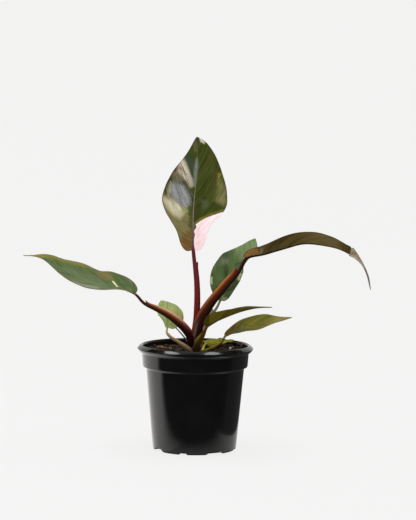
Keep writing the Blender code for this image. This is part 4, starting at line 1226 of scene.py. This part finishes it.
            rim=srgb(150, 158, 92), roughness=0.5, rib_reach=0.7, rim_strength=0.4, specular=0.15, streak=0.6,
            streak_colour=srgb(196, 204, 152), fleck=0.4, fleck_colour=srgb(196, 200, 150))),
    "lime": dict(
        upper=dict(
            dark=srgb(76, 86, 0), light=srgb(128, 132, 0), tint=srgb(120, 98, 0), rib=srgb(146, 144, 16),
            rim=srgb(112, 108, 2), roughness=0.5, rib_reach=0.6, rim_strength=0.4, specular=0.06, cloud=0.8,
            streak=0.5, streak_colour=srgb(150, 152, 6)),
        under=dict(
            dark=srgb(92, 90, 4), light=srgb(128, 126, 20), tint=srgb(136, 124, 30), rib=srgb(130, 130, 30),
            rim=srgb(108, 104, 12), roughness=0.5, rim_strength=0.4, specular=0.2)),
}

# Across each stalk the bands hold its own colours with painted shade on one side and a painted highlight on the
# other; glints are painted highlights
STALK_LOOKS = {
    "upright": dict(
        bands=[(-1, srgb(130, 38, 34), srgb(110, 72, 68)), (-0.3, srgb(120, 6, 0), srgb(84, 26, 24)),
               (0.9, srgb(106, 14, 12), srgb(100, 36, 40)), (1.6, srgb(64, 2, 0), srgb(104, 12, 18))],
        glints=[(0.6, 0.8, 0.2, 0.14, srgb(150, 78, 88))],
        stripe_colour=srgb(132, 60, 62), rib=srgb(96, 60, 66), rib_head=srgb(134, 120, 106),
        rib_tip=srgb(84, 84, 56), tip_from=(1.78, 1.88), spots=0.6, roughness=0.45, specular=0.08),
    "right": dict(
        bands=[(-1, srgb(36, 13, 8), srgb(30, 13, 12)), (0.3, srgb(40, 13, 5), srgb(42, 18, 10)),
               (1.2, srgb(44, 14, 5), srgb(78, 30, 3)), (2.0, srgb(58, 18, 8), srgb(120, 50, 2)),
               (2.7, srgb(104, 52, 34), srgb(176, 104, 58))],
        glints=[(1.7, 0.7, 0.14, 0.16, srgb(116, 96, 94))],
        stripe_colour=srgb(96, 44, 14), rib=srgb(40, 24, 16), rib_tip=srgb(132, 118, 110),
        tip_from=(1.7, 1.8), fade=(0.2, 0.65), roughness=0.4, specular=0.18),
    "left": dict(
        bands=[(-1, srgb(18, 8, 5), srgb(32, 18, 5)), (0.3, srgb(26, 6, 5), srgb(46, 22, 5)),
               (1.1, srgb(50, 8, 10), srgb(84, 36, 10)), (1.8, srgb(104, 18, 34), srgb(158, 96, 56)),
               (2.4, srgb(150, 62, 84), srgb(222, 170, 130))],
        stripe_colour=srgb(120, 62, 38), rib=srgb(110, 92, 66), fade=(0.14, 0.48), roughness=0.4,
        specular=0.15),
    "back": dict(
        bands=[(-0.5, srgb(112, 64, 60), srgb(84, 88, 58)), (0.6, srgb(190, 136, 130), srgb(96, 100, 66)),
               (1.4, srgb(208, 166, 156), srgb(104, 108, 74))],
        stripe=0.6, stripe_colour=srgb(226, 206, 198), rib=srgb(96, 112, 64), fade=(0.5, 0.75),
        specular=0.3),
    "upper_low": dict(
        bands=[(-1, srgb(66, 36, 14), srgb(116, 66, 22)), (0.4, srgb(46, 30, 4), srgb(62, 44, 5)),
               (1.4, srgb(40, 30, 2), srgb(74, 64, 10)), (2.4, srgb(74, 62, 12), srgb(126, 116, 44))],
        stripe_colour=srgb(120, 76, 26), rib=srgb(72, 62, 12), specular=0.18),
    "lower_low": dict(
        bands=[(-0.5, srgb(116, 102, 22), srgb(108, 78, 30)), (0.8, srgb(146, 130, 34), srgb(156, 120, 56))],
        stripe_colour=srgb(160, 124, 62), rib=srgb(112, 94, 26), roughness=0.45, specular=0.15),
    "pale": dict(
        bands=[(-0.6, srgb(84, 60, 42), srgb(128, 122, 54)), (0.4, srgb(122, 94, 64), srgb(142, 134, 66)),
               (1.3, srgb(164, 134, 104), srgb(160, 150, 92))],
        stripe=0.5, stripe_colour=srgb(164, 134, 104), rib=srgb(140, 156, 84), roughness=0.6,
        fade=(0.68, 0.8), specular=0.2),
    "lime": dict(
        bands=[(-0.5, srgb(178, 166, 44), srgb(144, 138, 12)), (0.8, srgb(212, 200, 80), srgb(156, 150, 22))],
        stripe_colour=srgb(146, 124, 22), rib=srgb(132, 132, 12), roughness=0.5, specular=0.15),
}


# The set

def add_area(name, place, target, size, radiance, colour=(1, 1, 1), diffuse=True, glossy=True):
    """An area light, not seen directly, that looks at a target; `radiance` is its brightness."""
    light = bpy.data.lights.new(name, "AREA")
    light.shape = "RECTANGLE"
    light.size, light.size_y = size
    light.energy = radiance * math.pi * size[0] * size[1]
    light.color = colour
    obj = bpy.data.objects.new(name, light)
    obj.location = place
    obj.rotation_euler = (Vector(target) - Vector(place)).to_track_quat("-Z", "Y").to_euler()
    obj.visible_camera = False
    obj.visible_diffuse = diffuse
    obj.visible_glossy = glossy
    bpy.context.scene.collection.objects.link(obj)


def paper(name, colour, glow):
    """Pale paper that is clear from behind, so that the plant shows from every side."""
    shader = Shader(name, roughness=1.0, specular_ior_level=0.0, base_color=colour)
    shader.set("Emission Color", PAPER_COLOUR)
    shader.set("Emission Strength", glow)
    tree = shader.material.node_tree
    side = tree.nodes.new("ShaderNodeNewGeometry")
    clear = tree.nodes.new("ShaderNodeBsdfTransparent")
    mixed = tree.nodes.new("ShaderNodeMixShader")
    output = next(node for node in tree.nodes if node.type == "OUTPUT_MATERIAL")
    tree.links.new(side.outputs["Backfacing"], mixed.inputs[0])
    tree.links.new(shader.principled.outputs[0], mixed.inputs[1])
    tree.links.new(clear.outputs[0], mixed.inputs[2])
    tree.links.new(mixed.outputs[0], output.inputs["Surface"])
    return shader.material


def make_stage():
    """A pale floor that runs up into a wall far behind."""
    bm = bmesh.new()
    profile = [(-3.0, 0), (0.6, 0)] + [(0.6 + 1.2 * math.sin(a), 1.2 - 1.2 * math.cos(a))
                                       for a in np.linspace(0.1, math.pi / 2, 12)] + [(1.8, 3.5)]
    rows = [[bm.verts.new((x, y, z - 0.0004)) for y, z in profile] for x in (-4.0, 4.0)]
    for i in range(len(profile) - 1):
        bm.faces.new((rows[0][i], rows[1][i], rows[1][i + 1], rows[0][i + 1]))
    floor = new_object("studio_floor", mesh_of("studio_floor", bm),
                       [paper("studio_paper", (0.09, 0.09, 0.09), FLOOR_GLOW)])
    floor.visible_glossy = False


def make_far_wall():
    """A pale round wall and floor far outside the set, seen directly only, behind every other view."""
    profile = [(7000, -20), (8200, 400), (8800, 1600), (9000, 4000), (7000, 8000)]
    rings = [np.column_stack([radius * unit_circle(WALL_STEPS), np.full(WALL_STEPS, height)])
             for radius, height in profile]
    wall = new_object("studio_wall", tube("studio_wall", rings, turned=True),
                      [paper("studio_wall_paper", (0, 0, 0), WALL_GLOW)])
    wall.visible_glossy = wall.visible_diffuse = wall.visible_shadow = wall.visible_transmission = False


def make_table():
    """The lit table as the gloss shows it: white at the left, darker at the right, fading to the front."""
    corners = [(x, y, 1.2) for x, y in ((-800, -160), (900, -160), (900, 1200), (-800, 1200))]
    mesh = mesh_from_arrays("studio_table", corners, [(0, 1, 2, 3)])
    shader = Shader("studio_table_light", roughness=1.0, specular_ior_level=0.0, base_color=(0, 0, 0))
    x, y, z = shader.parts(shader.place())
    bright, middle, dark = TABLE_LEVELS
    level = shader.math("MULTIPLY_ADD", shader.span(x, *TABLE_EDGES[0]), middle - bright, bright)
    level = shader.math("MULTIPLY_ADD", shader.span(x, *TABLE_EDGES[1]), dark - middle, level)
    shader.set("Emission Color", TABLE_COLOUR)
    shader.set("Emission Strength", shader.times(level, shader.span(y, *TABLE_FADE)))
    table = new_object("studio_table", mesh, [shader.material])
    table.visible_camera = table.visible_diffuse = table.visible_shadow = table.visible_transmission = False


def make_light():
    world = bpy.data.worlds.new("studio")
    bpy.context.scene.world = world
    world.use_nodes = True
    background = world.node_tree.nodes["Background"]
    background.inputs["Color"].default_value = (0.98, 0.99, 1.0, 1.0)
    background.inputs["Strength"].default_value = 0.5
    world.cycles_visibility.glossy = False
    make_table()
    add_area("overhead_left", (-0.78, 0.1, 1.6), (-0.78, 0.1, 0), (0.46, 0.9), 5.8, (0.93, 0.96, 1.0))
    add_area("overhead_right", (0.56, 0.0, 1.6), (0.56, 0.0, 0), (0.5, 0.9), 5.4, (0.9, 0.95, 1.0))
    add_area("ceiling", (-0.1, 0.15, 1.7), (-0.1, 0.15, 0), (2.8, 1.0), 0.5, (0.95, 0.97, 1.0), diffuse=False)
    add_area("pale_wall", (0, 2.6, 1.3), (0, 0, 1.3), (6.0, 2.6), 0.8, CARD_COLOUR, diffuse=False)
    for name, x, radiance in (("pale_side_left", -2.4, 0.6), ("pale_side_right", 2.4, 0.35)):
        add_area(name, (x, 0.5, 0.75), (0, 0.5, 0.75), (2.6, 1.5), radiance, CARD_COLOUR, diffuse=False)
    add_area("window", (-1.3, -0.9, 0.8), (0, 0, 0.25), (0.8, 1.3), 1.6, (0.95, 0.97, 1.0))
    add_area("front_fill", (0.2, -2.3, 1.1), (0, 0, 0.2), (2.0, 1.2), 2.2, glossy=False)


def make_camera():
    camera = bpy.data.objects.new("camera", bpy.data.cameras.new("camera"))
    camera.data.lens = CAMERA_LENS
    camera.data.sensor_width = 36.0
    camera.data.clip_start = 0.05
    pitch = Euler((math.radians(90 - CAMERA_PITCH), 0, 0)).to_matrix()
    roll = Euler((0, 0, math.radians(CAMERA_ROLL))).to_matrix()
    camera.matrix_world = Matrix.Translation(CAMERA_PLACE) @ (pitch @ roll).to_4x4()
    bpy.context.scene.collection.objects.link(camera)
    bpy.context.scene.camera = camera


def main():
    bpy.context.scene.view_settings.view_transform = "Standard"
    make_camera()
    make_stage()
    make_far_wall()
    make_light()
    make_pot(pot_material())
    make_soil(soil_material())
    make_crumbs(crumb_material())
    make_stem(stem_material())
    make_dry_stalk()
    for seed, (kind, leaf) in enumerate(LEAVES.items()):
        look = LOOKS[kind]
        materials = [blade_material(f"{kind}_upper_skin", "upper", look["upper"], seed * 5.3),
                     blade_material(f"{kind}_under_skin", "under", look["under"], seed * 5.3 + 2.1),
                     rim_material(f"{kind}_margin", look["upper"])]
        make_blade(kind, leaf, materials)
        make_stalk(kind, leaf, stalk_material(f"{kind}_stalk_skin", STALK_LOOKS[kind], seed * 3.1))


main()
bpy.context.view_layer.update()
